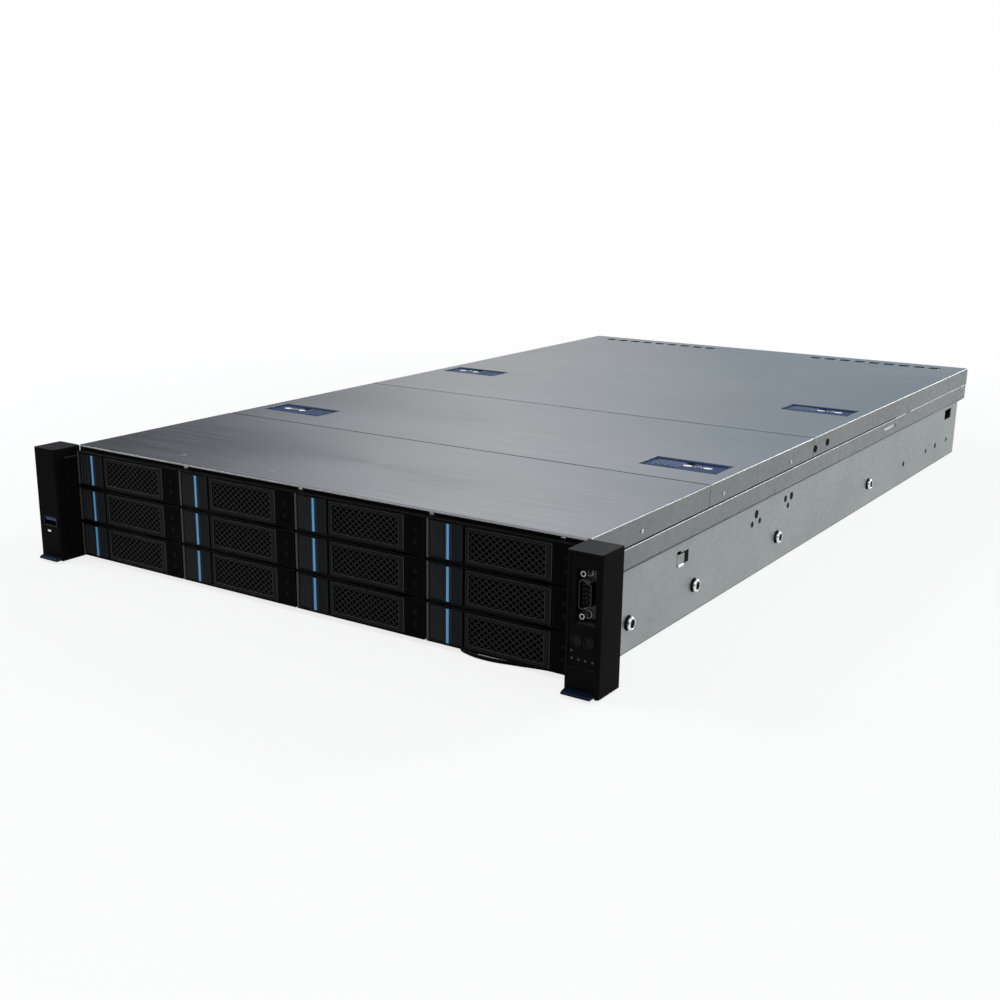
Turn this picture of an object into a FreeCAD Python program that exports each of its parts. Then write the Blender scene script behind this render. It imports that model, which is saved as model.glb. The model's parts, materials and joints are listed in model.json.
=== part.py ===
import FreeCAD, Part
import math
import os
import re
import Sketcher

# A 2U rack server with twelve 3.5 inch drive bays. Millimetres. +Z is up, +X is to the
# right seen from the front, and the front faces -Y. The origin is under the middle of the
# whole machine, on the plane that the bottom sheet stands on. Inside a sub-part, y is
# counted from the front edge of the top covers, and front_edge carries it to its place.

V = FreeCAD.Vector
doc = FreeCAD.newDocument("RackServer")
sizes = doc.addObject("Spreadsheet::Sheet", "Sizes")

DRIVING_SIZES = [
    ("rack_width", 482.6, "over the ears, the 19 inch standard"),
    ("body_width", 440, "over the side flanges of the covers"),
    ("body_height", 87, "two rack units less the running gap"),
    ("overall_depth", 831, "from the pull tabs to the supply handles"),
    ("front_reach", 31, "pull tabs ahead of the covers' front edge"),
    ("lower_depth", 780, "bottom sheet, from the covers' front edge"),
    ("upper_depth", 797, "covers and upper side bands"),
    ("steel", 1.2, "chassis sheet"),
    ("cover_steel", 1, "cover sheet"),
    ("side_wall", 217.5, "outer face of the lower side wall"),
    ("side_band", 219.6, "outer face of the proud band"),
    ("side_neck", 217.9, "wall behind the covers' flanges"),
    ("band_low", 57, "lower edge of the band"),
    ("band_high", 70, "upper edge of the band"),
    ("rim", 85.4, "top of the side walls"),
    ("seam_one", 160, "between front and middle cover"),
    ("seam_two", 352, "between middle and rear cover"),
    ("seam_gap", 0.8, "gap at each seam"),
    ("column_pitch", 107.6, "drive columns"),
    ("row_pitch", 27.2, "drive rows"),
    ("row_first", 16.4, "middle of the lowest row"),
    ("face_wide", 106.2, "carrier face"),
    ("face_tall", 26.2, "carrier face"),
    ("face_front", 8, "carrier face ahead of the covers"),
    ("drive_wide", 101.6, "3.5 inch drive"),
    ("drive_tall", 26.1, "3.5 inch drive"),
    ("drive_long", 147, "3.5 inch drive"),
    ("cell_first", -15.65, "first lattice cell of a lever, from the carrier's middle"),
    ("cell_pitch", 10.6, "lattice cells along a lever"),
    ("cell_rise", 4.6, "outer rows of cells above and below the middle row"),
    ("cell_wide", 8.6, "lattice cell"),
    ("cell_tall", 7.4, "lattice cell"),
    ("pin_radius", 0.95, "pivots of a lever"),
    ("pin_in", 36, "lever pin, from the carrier's middle"),
    ("pin_out", 7, "lever pin, ahead of the covers' front edge"),
    ("latch_across", 180, "middle of a cover latch from the centre line"),
    ("latch_one", 205.5, "latches of the middle cover"),
    ("latch_two", 471, "latches of the rear cover"),
    ("latch_wide", 59.6, "blue latch plate"),
    ("latch_deep", 29.6, "blue latch plate"),
    ("ear_inner", 218.5, "inner side of an ear"),
    ("ear_front", 25.8, "ear face ahead of the covers"),
    ("ear_low", 1.1, "foot of an ear"),
    ("ear_high", 86.7, "top of an ear"),
    ("fan_size", 80, "square fan frame"),
    ("fan_deep", 38, "fan frame"),
    ("fan_bore", 38, "radius of the air way"),
    ("fan_pitch", 108, "fans across the chassis"),
    ("fan_place", 186, "front of the fans"),
    ("fan_middle", 41.3, "axis of the impellers above the bottom"),
    ("supply_wide", 73.5, "hot-swap supply"),
    ("supply_tall", 40, "hot-swap supply"),
    ("supply_long", 205, "hot-swap supply"),
    ("supply_across", -174.5, "middle of the supplies"),
    ("stud_height", 20, "rail studs above the bottom"),
    ("stud_radius", 2.9, "shoulder of a rail stud"),
    ("stud_head", 4.4, "head of a rail stud"),
    ("port_across", 231, "display port and buttons from the centre line"),
]
for row, (alias, value, note) in enumerate(DRIVING_SIZES, 1):
    sizes.set(f"A{row}", note)
    sizes.set(f"B{row}", str(value))
    sizes.setAlias(f"B{row}", alias)
last = len(DRIVING_SIZES) + 1
sizes.set(f"A{last}", "covers' front edge from the origin")
sizes.set(f"B{last}", "=front_reach - overall_depth / 2")
sizes.setAlias(f"B{last}", "front_edge")
doc.recompute()

parts = []


def linked(text):
    """The same expression with each word pointed at its cell."""
    return re.sub(r"[a-z_]{2,}", lambda word: "Sizes." + word.group(), str(text))


def bind(thing, field, text):
    thing.setExpression(field, linked(text))


def place(thing, x="0", y="front_edge", z="0"):
    bind(thing, "Placement.Base.x", x)
    bind(thing, "Placement.Base.y", y)
    bind(thing, "Placement.Base.z", z)


def new_body(label, x="0", y="front_edge", z="0"):
    body = doc.addObject("PartDesign::Body", label)
    body.Label = label
    place(body, x, y, z)
    return body


def pattern_body(label):
    """A body that only serves as the pattern of repeated pieces, and is not a sub-part."""
    return new_body(label, y="0")


def sub_part(thing):
    parts.append(thing)
    return thing


def group(label, members, x="0", y="0", z="0"):
    """One sub-part made of separate solids that are fixed to each other."""
    whole = doc.addObject("Part::Compound", label)
    whole.Label = label
    whole.Links = members
    place(whole, x, y, z)
    return sub_part(whole)


def copy_of(pattern, name, x="0", y="0", z="0", turned=False):
    """A placed copy of a pattern body, mirrored left to right when turned."""
    if turned:
        copy = doc.addObject("Part::Mirroring", name)
        copy.Source = pattern
        copy.Normal = V(1, 0, 0)
    else:
        copy = doc.addObject("Part::Compound", name)
        copy.Links = [pattern]
    place(copy, x, y, z)
    return copy


def origin_plane(body, role):
    return next(f for f in body.Origin.OriginFeatures if f.Role == role)


def new_sketch(body, role, name, offset="0"):
    sketch = body.newObject("Sketcher::SketchObject", name)
    sketch.AttachmentSupport = [(origin_plane(body, role), "")]
    sketch.MapMode = "FlatFace"
    bind(sketch, "AttachmentOffset.Base.z", offset)
    return sketch


def hold(sketch, kinds, geometry, point, texts):
    """Ties one point to the sketch's origin, in X and in Y."""
    limits = [Sketcher.Constraint(kind, -1, 1, geometry, point, 1.0) for kind in kinds]
    numbers = sketch.addConstraint(limits)
    for number, text in zip(numbers, texts):
        bind(sketch, f"Constraints[{number}]", text)


def outline(sketch, corners):
    """Straight lines through the corners, each an (across, up) pair of expressions."""
    first = sketch.GeometryCount
    count = len(corners)
    rough = []
    for i in range(count + 1):
        turn = 2 * math.pi * i / count
        rough.append(V(50 * math.cos(turn), 50 * math.sin(turn), 0))
    lines = [Part.LineSegment(rough[i], rough[i + 1]) for i in range(count)]
    sketch.addGeometry(lines, False)
    limits = []
    for i in range(count):
        after = first + (i + 1) % count
        limits.append(Sketcher.Constraint("Coincident", first + i, 2, after, 1))
    texts = []
    for i, corner in enumerate(corners):
        for kind, text in zip(("DistanceX", "DistanceY"), corner):
            limits.append(Sketcher.Constraint(kind, -1, 1, first + i, 1, 1.0))
            texts.append(text)
    numbers = sketch.addConstraint(limits)
    for number, text in zip(numbers[count:], texts):
        bind(sketch, f"Constraints[{number}]", text)


def rectangle(sketch, left, low, right, high):
    outline(sketch, [(left, low), (right, low), (right, high), (left, high)])


def circle(sketch, across, up, radius):
    number = sketch.addGeometry(Part.Circle(V(1, 1, 0), V(0, 0, 1), 2), False)
    hold(sketch, ("DistanceX", "DistanceY"), number, 3, (across, up))
    size = sketch.addConstraint(Sketcher.Constraint("Radius", number, 2.0))
    bind(sketch, f"Constraints[{size}]", radius)


def many_sided(sketch, across, up, radius, sides):
    """An outline with equal sides, for nuts, their holes and moulded pivots."""
    corners = []
    for side in range(sides):
        turn = 2 * math.pi * side / sides
        corners.append((f"{across} + {radius} * ({math.cos(turn):.4f})",
                        f"{up} + {radius} * ({math.sin(turn):.4f})"))
    outline(sketch, corners)


def mirrored(half):
    """A whole outline from its right half, which starts and ends on the same level."""
    return half + [(f"-({across})", up) for across, up in reversed(half)]


def pad(sketch, length, backwards=False, both_ways=False):
    """Pads a sketch. A sketch on XZ faces -Y, so backwards there runs towards the rear."""
    body = sketch.getParentGeoFeatureGroup()
    feature = body.newObject("PartDesign::Pad", sketch.Name + "Pad")
    feature.Profile = sketch
    bind(feature, "Length", length)
    feature.Reversed = backwards
    feature.Midplane = both_ways
    doc.recompute()
    return feature


def pocket(sketch, length=None, backwards=False, both_ways=False):
    """Cuts a sketch, right through when no length is given, and checks that it cut."""
    body = sketch.getParentGeoFeatureGroup()
    doc.recompute()
    before = body.Shape.Volume
    feature = body.newObject("PartDesign::Pocket", sketch.Name + "Cut")
    feature.Profile = sketch
    if length is None:
        feature.Type = "ThroughAll"
    else:
        bind(feature, "Length", length)
    feature.Reversed = backwards
    feature.Midplane = both_ways
    doc.recompute()
    if body.Shape.Volume > before - 1e-3:
        raise RuntimeError(sketch.Name + " cut nothing")
    return feature


def block(body, name, low, high, cut=False):
    """Adds or cuts a box from its low corner to its high corner."""
    kind = "PartDesign::SubtractiveBox" if cut else "PartDesign::AdditiveBox"
    box = body.newObject(kind, name)
    for field, axis in (("Length", 0), ("Width", 1), ("Height", 2)):
        bind(box, field, f"({high[axis]}) - ({low[axis]})")
        bind(box, "Placement.Base." + "xyz"[axis], low[axis])
    return box


def rod(body, name, base, radius, length, along="z", cut=False):
    """Adds or cuts a round bar that starts at base and runs along one axis."""
    kind = "PartDesign::SubtractiveCylinder" if cut else "PartDesign::AdditiveCylinder"
    bar = body.newObject(kind, name)
    turns = {
        "x": FreeCAD.Rotation(V(0, 1, 0), 90),
        "y": FreeCAD.Rotation(V(1, 0, 0), -90),
        "z": FreeCAD.Rotation(),
    }
    bar.Placement = FreeCAD.Placement(V(), turns[along])
    bind(bar, "Radius", radius)
    bind(bar, "Height", length)
    for axis in range(3):
        bind(bar, "Placement.Base." + "xyz"[axis], base[axis])
    return bar


def edges_that(shape, test):
    """The names of the edges whose middle and direction pass a test."""
    names = []
    for number, edge in enumerate(shape.Edges, 1):
        start = edge.Vertexes[0].Point
        end = edge.Vertexes[-1].Point
        if test((start + end) / 2, end - start):
            names.append(f"Edge{number}")
    return names


def round_edges(body, name, radius, test):
    doc.recompute()
    base = body.Tip
    feature = body.newObject("PartDesign::Fillet", name)
    feature.Base = (base, edges_that(base.Shape, test))
    bind(feature, "Radius", radius)
    doc.recompute()
    return feature


def linear_pattern(body, name, originals, role, spacing, count):
    pattern = body.newObject("PartDesign::LinearPattern", name)
    pattern.Originals = originals
    pattern.Direction = (origin_plane(body, role), [""])
    pattern.Mode = "Spacing"
    bind(pattern, "Offset", spacing)
    pattern.Occurrences = count
    body.Tip = pattern
    doc.recompute()
    return pattern


# ---------------------------------------------------------------- chassis


def chassis_pan():
    """Folded tray: floor, side walls that step out to a proud band, and a top rim."""
    body = sub_part(new_body("chassis_pan"))
    sketch = new_sketch(body, "XZ_Plane", "PanFold", "-2")
    right_half = [
        ("side_wall", "0"),
        ("side_wall", "band_low - 2"),
        ("side_band", "band_low"),
        ("side_band", "band_high"),
        ("side_neck", "band_high"),
        ("side_neck", "rim"),
        ("side_neck - 3.5", "rim"),
        ("side_neck - 3.5", "rim - steel"),
        ("side_neck - steel", "rim - steel"),
        ("side_neck - steel", "band_high - steel"),
        ("side_band - steel", "band_high - steel"),
        ("side_band - steel", "band_low + 0.5"),
        ("side_wall - steel", "band_low - 1.5"),
        ("side_wall - steel", "steel"),
    ]
    outline(sketch, mirrored(right_half))
    pad(sketch, "upper_depth - 2", backwards=True)
    rear = new_sketch(body, "YZ_Plane", "RearCorner")
    rectangle(rear, "lower_depth", "-5", "upper_depth + 5", "54")
    pocket(rear, both_ways=True)
    holes = new_sketch(body, "YZ_Plane", "SideHoles")
    for along, up in ((243, 40.6), (250, 47), (257, 40.6), (306, 47), (312, 40.6), (318, 47)):
        many_sided(holes, along, up, "1.7", 6)
    for along in (607, 679, 711, 750):
        many_sided(holes, along, "stud_height - 1", "1.8", 6)
    rectangle(holes, "531", "62.6", "563", "65.4")
    rectangle(holes, "736", "41", "758", "51")
    outline(holes, [("119", "42.5"), ("124", "42.5"), ("126", "44.5"), ("126", "47.5"),
                    ("124", "49.5"), ("119", "49.5")])
    pocket(holes, both_ways=True)
    return body


def rail_studs():
    """Eight shouldered studs that hang the machine in its slide rails."""
    stud = pattern_body("StudPattern")
    sketch = new_sketch(stud, "XY_Plane", "StudHalf")
    outline(sketch, [("0", "0"), ("3.5", "0"), ("3.5", "3.8"), ("3.2", "stud_head"),
                     ("2.1", "stud_head"), ("2.1", "stud_radius"), ("0", "stud_radius")])
    turn = stud.newObject("PartDesign::Revolution", "StudTurn")
    turn.Profile = sketch
    turn.ReferenceAxis = (sketch, ["H_Axis"])
    turn.Angle = 360
    doc.recompute()
    copies = []
    for number, along in enumerate((53.5, 147, 292.6, 503.8), 1):
        for turned in (False, True):
            side = "-side_wall" if turned else "side_wall"
            name = f"Stud{number}{'Left' if turned else 'Right'}"
            copies.append(copy_of(stud, name, side, f"front_edge + {along}", "stud_height", turned))
    return group("rail_studs", copies)


def drive_cage():
    """Front frame with four column windows, and five comb walls whose ledges carry the trays."""
    body = sub_part(new_body("drive_cage"))
    frame = new_sketch(body, "XZ_Plane", "FrameFace", "1")
    rectangle(frame, "-214.2", "1.3", "214.2", "85.5")
    for column in (-2, -1, 0, 1):
        left = f"{column} * column_pitch + 1"
        right = f"{column + 1} * column_pitch - 1"
        if column == -2:
            left = "-213.4"
        if column == 1:
            right = "213.4"
        rectangle(frame, left, "3", right, "84.1")
    pad(frame, "5", backwards=True)
    for wall in (-2, -1, 0, 1, 2):
        comb = new_sketch(body, "XZ_Plane", f"CombWall{wall + 2}", "-4")
        outline(comb, comb_outline(wall))
        pad(comb, "seam_one - 10", backwards=True)
    notch = new_sketch(body, "XZ_Plane", "TagNotch", "3")
    rectangle(notch, "131", "0", "202", "3")
    pocket(notch, "9")
    return body


def comb_outline(wall):
    """One upright wall with a ledge under each tray rail."""
    centre = f"{wall} * column_pitch"
    left = f"{centre} - 1"
    right = f"{centre} + 1"
    if wall == -2:
        left, right = "-214.6", "-213.4"
    if wall == 2:
        left, right = "213.4", "214.6"
    ledge_reach = "column_pitch / 2 - drive_wide / 2 - 0.15"
    up_the_right = [(right, "1.3")]
    up_the_left = [(left, "1.3")]
    for level in range(3):
        low = f"row_first + {level} * row_pitch - 12.4"
        high = f"row_first + {level} * row_pitch - 11.2"
        if wall < 2:
            tip = f"{centre} + {ledge_reach}"
            up_the_right += [(right, low), (tip, low), (tip, high), (right, high)]
        if wall > -2:
            tip = f"{centre} - ({ledge_reach})"
            up_the_left += [(left, low), (tip, low), (tip, high), (left, high)]
    up_the_right.append((right, "84.1"))
    up_the_left.append((left, "84.1"))
    return up_the_right + list(reversed(up_the_left))


def backplane():
    """Circuit board behind the drives, with a connector and two air slots for each bay."""
    body = sub_part(new_body("backplane"))
    board = new_sketch(body, "XZ_Plane", "BackplaneBoard", "-163")
    rectangle(board, "-212", "2", "212", "83")
    pad(board, "2.4", backwards=True)
    slots = new_sketch(body, "XZ_Plane", "AirSlots", "-163")
    for level in range(3):
        height = f"row_first + {level} * row_pitch"
        rectangle(slots, "-1.5 * column_pitch - 8", f"{height} - 9",
                  "-1.5 * column_pitch + 44", f"{height} + 7")
    first = pocket(slots)
    linear_pattern(body, "AirSlotColumns", [first], "X_Axis", "column_pitch", 4)
    for column in range(4):
        for level in range(3):
            middle = f"({column} - 1.5) * column_pitch"
            height = f"row_first + {level} * row_pitch"
            low = (f"{middle} - 46", "157.5", f"{height} - 8.5")
            high = (f"{middle} - 12", "163", f"{height} - 3.5")
            block(body, f"DriveConnector{column}{level}", low, high)
    return body


# ---------------------------------------------------------------- top covers


def cover_fold(body, start, end):
    """The top sheet and its two side flanges, padded from start to end."""
    sketch = new_sketch(body, "XZ_Plane", body.Name + "Fold", f"-({start})")
    half = [
        ("body_width / 2", "band_high + 0.6"),
        ("body_width / 2", "body_height"),
    ]
    inner = [
        ("body_width / 2 - cover_steel", "body_height - cover_steel"),
        ("body_width / 2 - cover_steel", "band_high + 0.6"),
    ]
    left = [(f"-({across})", up) for across, up in reversed(half)]
    left_inner = [(f"-({across})", up) for across, up in reversed(inner)]
    outline(sketch, half + left + left_inner + inner)
    return pad(sketch, f"({end}) - ({start})", backwards=True)


def latch_tray(body, side, along):
    """A sunk tray in the cover for one latch plate, with a pin slot in each end wall."""
    name = body.Name + ("Right" if side > 0 else "Left")
    middle = f"{side} * latch_across"
    reach = "latch_wide / 2"
    deep = "latch_deep / 2"
    low = (f"{middle} - {reach} - 1.4", f"{along} - {deep} - 1.4", "81.7")
    high = (f"{middle} + {reach} + 1.4", f"{along} + {deep} + 1.4", "body_height - 0.5")
    block(body, name + "Tray", low, high)
    low = (f"{middle} - {reach} - 0.4", f"{along} - {deep} - 0.4", "82.6")
    high = (f"{middle} + {reach} + 0.4", f"{along} + {deep} + 0.4", "body_height + 1")
    block(body, name + "Well", low, high, cut=True)
    low = (f"{middle} - {reach} - 1.3", f"{along} + 11.6", "83.7")
    high = (f"{middle} + {reach} + 1.3", f"{along} + 14.2", "86.3")
    block(body, name + "PinSlot", low, high, cut=True)


def front_cover():
    """The fixed cover over the drive cage, with a rolled lip along its front edge."""
    body = sub_part(new_body("front_cover"))
    cover_fold(body, "0", "seam_one - seam_gap / 2")
    lip = new_sketch(body, "YZ_Plane", "FrontLip")
    outline(lip, [("0.6", "body_height - 1.3"), ("0.6", "body_height"), ("-0.7", "body_height"),
                  ("-1.3", "body_height - 0.25"), ("-1.6", "body_height - 0.8"),
                  ("-1.6", "body_height - 1.3")])
    pad(lip, "2 * ear_inner - 0.8", both_ways=True)
    return body


def middle_cover():
    """The cover over the fans and the air duct, with two latch trays."""
    body = sub_part(new_body("middle_cover"))
    cover_fold(body, "seam_one + seam_gap / 2", "seam_two - seam_gap / 2")
    for side in (-1, 1):
        latch_tray(body, side, "latch_one")
    doc.recompute()
    return body


def rear_cover():
    """The cover over the main board, with two latch trays and rows of vents at the back."""
    body = sub_part(new_body("rear_cover"))
    cover_fold(body, "seam_two + seam_gap / 2", "upper_depth")
    for side in (-1, 1):
        latch_tray(body, side, "latch_two")
    vents = new_sketch(body, "XY_Plane", "TopVents", "body_height + 1")
    for left in (-196, 58):
        rectangle(vents, str(left), "upper_depth - 26", str(left + 11), "upper_depth - 16")
    first = pocket(vents, "4")
    linear_pattern(body, "TopVentRow", [first], "X_Axis", "16", 9)
    return body


def cover_latches():
    """Four blue latch plates, each pinned along its rear edge."""
    plate = pattern_body("LatchPattern")
    side_view = new_sketch(plate, "YZ_Plane", "LatchSide")
    outline(side_view, [("-latch_deep / 2", "0.5"), ("-latch_deep / 2 + 3", "-1.9"),
                        ("12.9", "-1.9"), ("12.9", "1.9"), ("-latch_deep / 2", "1.9")])
    pad(side_view, "latch_wide", both_ways=True)
    rod(plate, "LatchKnuckle", ("-latch_wide / 2", "12.9", "0"), "1.9", "latch_wide", "x")
    pins = new_sketch(plate, "YZ_Plane", "LatchPins")
    many_sided(pins, "12.9", "0", "1.1", 8)
    pad(pins, "latch_wide + 2", both_ways=True)
    face = new_sketch(plate, "XY_Plane", "LatchFace", "1.9")
    rectangle(face, "4", "-10", "25", "8")
    pocket(face, "0.6")
    number = 0
    for along in ("latch_one", "latch_two"):
        for side in (-1, 1):
            number += 1
            sub_part(copy_of(plate, f"cover_latch_{number}", f"{side} * latch_across",
                             f"front_edge + {along}", "85"))


# ---------------------------------------------------------------- drives


def carrier_tray():
    """Carrier face with rims and a hinge block, and the two side rails of the tray."""
    body = pattern_body("TrayPattern")
    wide = "face_wide / 2"
    tall = "face_tall / 2"
    plate = new_sketch(body, "XZ_Plane", "FacePlate", "1.3")
    rectangle(plate, f"-{wide}", f"-{tall}", wide, tall)
    rectangle(plate, "-23", "-9.5", "34", "9.5")
    pad(plate, "2.3")
    rims = new_sketch(body, "XZ_Plane", "FaceRims", "3.6")
    rectangle(rims, f"-{wide}", f"-{tall}", wide, tall)
    outline(rims, [(f"-{wide} + 1.2", f"-{tall} + 1.5"), ("38", f"-{tall} + 1.5"),
                   ("38", f"{tall} - 1.5"), (f"-{wide} + 1.2", f"{tall} - 1.5")])
    pad(rims, "face_front - 3.6")
    light_pipes = new_sketch(body, "XZ_Plane", "LightPipes", "face_front")
    rectangle(light_pipes, "45", "3", "47", "5")
    rectangle(light_pipes, "45", "-5", "47", "-3")
    pocket(light_pipes, "2")
    block(body, "PinSeat", ("pin_in - 1.1", "-pin_out - 1.1", "-12.7"),
          ("pin_in + 1.1", "-pin_out + 1.1", "12.7"), cut=True)
    for side in (-1, 1):
        low = "drive_wide / 2" if side > 0 else "-drive_wide / 2 - 1"
        high = "drive_wide / 2 + 1" if side > 0 else "-drive_wide / 2"
        block(body, f"TrayRail{side + 1}", (low, "-1.3", "-11"), (high, "158", "11"))
    doc.recompute()
    return body


def release_button():
    """Ribbed release button with a raised stripe, drawn from above and padded upright."""
    body = pattern_body("ButtonPattern")
    sketch = new_sketch(body, "XY_Plane", "ButtonTop")
    corners = [("-26.4", "-3.8"), ("-26.4", "-7.6"), ("-34.2", "-7.6"), ("-34.2", "-8"),
               ("-38.8", "-8"), ("-38.8", "-7.6")]
    for rib in range(3):
        left = -41.2 - 3.2 * rib
        corners += [(str(left), "-7.6"), (str(left - 0.4), "-7"), (str(left - 1.2), "-7"),
                    (str(left - 1.6), "-7.6")]
    corners += [("-51.7", "-7.6"), ("-51.7", "-3.8")]
    outline(sketch, corners)
    pad(sketch, "22.8", both_ways=True)
    return body


def disk_drive():
    """3.5 inch drive: cast base with a stepped lid and its plug at the back."""
    body = pattern_body("DrivePattern")
    low = ("-drive_wide / 2", "8", "-drive_tall / 2")
    high = ("drive_wide / 2", "8 + drive_long", "drive_tall / 2 - 2")
    block(body, "DriveBase", low, high)
    low = ("-drive_wide / 2 + 2.5", "10.5", "drive_tall / 2 - 2")
    high = ("drive_wide / 2 - 2.5", "5.5 + drive_long", "drive_tall / 2")
    block(body, "DriveLid", low, high)
    low = ("-46", "4 + drive_long", "-drive_tall / 2 + 4")
    high = ("-10", "9 + drive_long", "-drive_tall / 2 + 10")
    block(body, "DrivePlugWell", low, high, cut=True)
    doc.recompute()
    return body


def carrier_lever():
    """Swinging lever: a shallow tray whose face is a lattice of diamond cells."""
    body = pattern_body("LeverPattern")
    low = ("-23.9", "-face_front", "-11.2")
    block(body, "LeverBlank", low, ("37", "-3.9", "11.2"))
    low = ("-21.4", "-face_front + 1.3", "-9.2")
    block(body, "LeverHollow", low, ("32.5", "0", "9.2"), cut=True)
    pivots = new_sketch(body, "XY_Plane", "LeverPivots")
    many_sided(pivots, "pin_in", "-pin_out", "pin_radius", 8)
    pad(pivots, "25", both_ways=True)
    for name, starts, count in (
        ("Outer", (("cell_first", "cell_rise"), ("cell_first", "-cell_rise")), 5),
        ("Middle", (("cell_first + cell_pitch / 2", "0"),), 4),
    ):
        cells = new_sketch(body, "XZ_Plane", name + "Cell", "face_front + 1")
        for across, up in starts:
            diamond(cells, across, up)
        first = pocket(cells, "4")
        linear_pattern(body, name + "Cells", [first], "X_Axis", "cell_pitch", count)
    return body


def diamond(sketch, across, up):
    """A four-sided cell that stands on its point."""
    outline(sketch, [(f"{across} - cell_wide / 2", up), (across, f"{up} - cell_tall / 2"),
                     (f"{across} + cell_wide / 2", up), (across, f"{up} + cell_tall / 2")])


def drive_carriers():
    """Twelve carriers and their levers, numbered from the top left along each row."""
    tray = carrier_tray()
    button = release_button()
    drive = disk_drive()
    lever = carrier_lever()
    number = 0
    for level in (2, 1, 0):
        for column in range(4):
            number += 1
            across = f"({column} - 1.5) * column_pitch"
            height = f"row_first + {level} * row_pitch"
            group(f"drive_carrier_{number:02d}", [tray, button, drive],
                  across, "front_edge", height)
            sub_part(copy_of(lever, f"carrier_lever_{number:02d}", across, "front_edge", height))


# ---------------------------------------------------------------- ears and front controls


def ear(label, side):
    """Moulded ear with an inner web and a leaf that is screwed inside the side wall."""
    body = sub_part(new_body(label))

    def box(name, inner, front, low, outer, back, high, cut=False):
        xs = (inner, outer) if side > 0 else (f"-({outer})", f"-({inner})")
        block(body, label + name, (xs[0], front, low), (xs[1], back, high), cut)

    box("Block", "ear_inner", "-ear_front", "ear_low", "rack_width / 2", "-1.6", "ear_high")
    box("Seat", "221.4", "-2", "ear_low", "rack_width / 2", "-1", "ear_high")
    round_edges(body, label + "Round", "1.6",
                lambda middle, run: middle.y < -25.7 and abs(run.z) > 80)
    box("Web", "214.9", "-18", "6", "ear_inner + 1", "-1.6", "80")
    box("Leaf", "214.9", "-2", "10", "side_wall - steel", "22", "76")
    box("TabSlot", "ear_inner + 0.6", "-40", "-5", "238.6", "-5", "4.6", cut=True)
    if side > 0:
        box("PanelSink", "220.6", "-40", "18", "239.4", "-ear_front + 0.6", "84.6", cut=True)
        box("PortWell", "port_across - 6.4", "-40", "44.5", "port_across + 6.4", "-18", "77",
            cut=True)
        for number, across in enumerate(("port_across - 4.2", "port_across + 3.8"), 1):
            rod(body, f"ButtonBore{number}", (across, "-40", "34.3"), "3", "24", "y", cut=True)
    else:
        box("PortWell", "229 - 7.4", "-40", "27.2", "229 + 7.4", "-10", "34.8", cut=True)
    doc.recompute()
    return body


def pull_tab(label, side):
    """Blue pull tab in the slot under an ear, with a rounded lip."""
    body = sub_part(new_body(label))
    xs = ("219.4", "238.3") if side > 0 else ("-238.3", "-219.4")
    sketch = new_sketch(body, "YZ_Plane", label + "Side", xs[0])
    outline(sketch, [("-31", "2"), ("-30", "1.5"), ("-7", "1.5"), ("-7", "4.3"),
                     ("-27", "4.3"), ("-30.4", "3.5")])
    pad(sketch, "18.9")
    return body


def front_buttons():
    """Two round push buttons in the right ear."""
    for label, across in (("power_button", "port_across + 3.8"),
                          ("locate_button", "port_across - 4.2")):
        body = sub_part(new_body(label, across, "front_edge", "34.3"))
        rod(body, label + "Cap", ("0", "-ear_front", "0"), "2.75", "6.6", "y")
        rod(body, label + "Crown", ("0", "-ear_front - 0.4", "0"), "2.3", "2", "y")


def front_ports():
    """Display port with its jack screws in the right ear, and the USB port in the left."""
    display = new_body("DisplayPort")
    low = ("port_across - 6.2", "-19.6", "45.2")
    block(display, "PortFlange", low, ("port_across + 6.2", "-18", "76.4"))
    shell = new_sketch(display, "XZ_Plane", "PortShell", "19.6")
    rim = [("port_across - 4.1", "52.6"), ("port_across - 2.6", "51.8"),
           ("port_across + 2.6", "53"), ("port_across + 4.1", "54.4"),
           ("port_across + 4.1", "67.2"), ("port_across + 2.6", "68.6"),
           ("port_across - 2.6", "69.8"), ("port_across - 4.1", "69")]
    outline(shell, rim)
    pad(shell, "5")
    face = new_sketch(display, "XZ_Plane", "PortFace", "24.6")
    outline(face, [("port_across - 3.4", "53.4"), ("port_across + 3.4", "55"),
                   ("port_across + 3.4", "66.6"), ("port_across - 3.4", "68.2")])
    pocket(face, "1.5")
    for number, up in enumerate(("48.3", "73.3"), 1):
        nut = new_sketch(display, "XZ_Plane", f"JackNut{number}", "19.4")
        many_sided(nut, "port_across", up, "2.5", 6)
        pad(nut, "4.2")
    usb = new_body("UsbPort")
    block(usb, "UsbShell", ("-229 - 7.2", "-ear_front + 0.2", "27.4"), ("-229 + 7.2", "-10", "34.6"))
    block(usb, "UsbHollow", ("-229 - 6.4", "-40", "28.1"), ("-229 + 6.4", "-12", "33.9"), cut=True)
    block(usb, "UsbTongue", ("-229 - 5.6", "-ear_front + 1", "32.1"), ("-229 + 5.6", "-12", "33.9"))
    doc.recompute()
    return group("front_ports", [display, usb])


def info_tag():
    """Pull-out card under the last column, with a curved finger lip."""
    body = sub_part(new_body("info_tag"))
    block(body, "TagCard", ("133", "-6", "1.5"), ("200", "62", "2.9"))
    lip = new_sketch(body, "XY_Plane", "TagLip", "0.4")
    outline(lip, [("131", "-6"), ("131", "-8.4"), ("140", "-10.8"), ("152", "-12.4"),
                  ("166.5", "-13"), ("181", "-12.4"), ("193", "-10.8"), ("202", "-8.4"),
                  ("202", "-6")])
    pad(lip, "2.6")
    round_edges(body, "TagRound", "0.8",
                lambda middle, run: middle.y < -8 and abs(run.z) < 0.01)
    return body


# ---------------------------------------------------------------- fans


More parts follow.
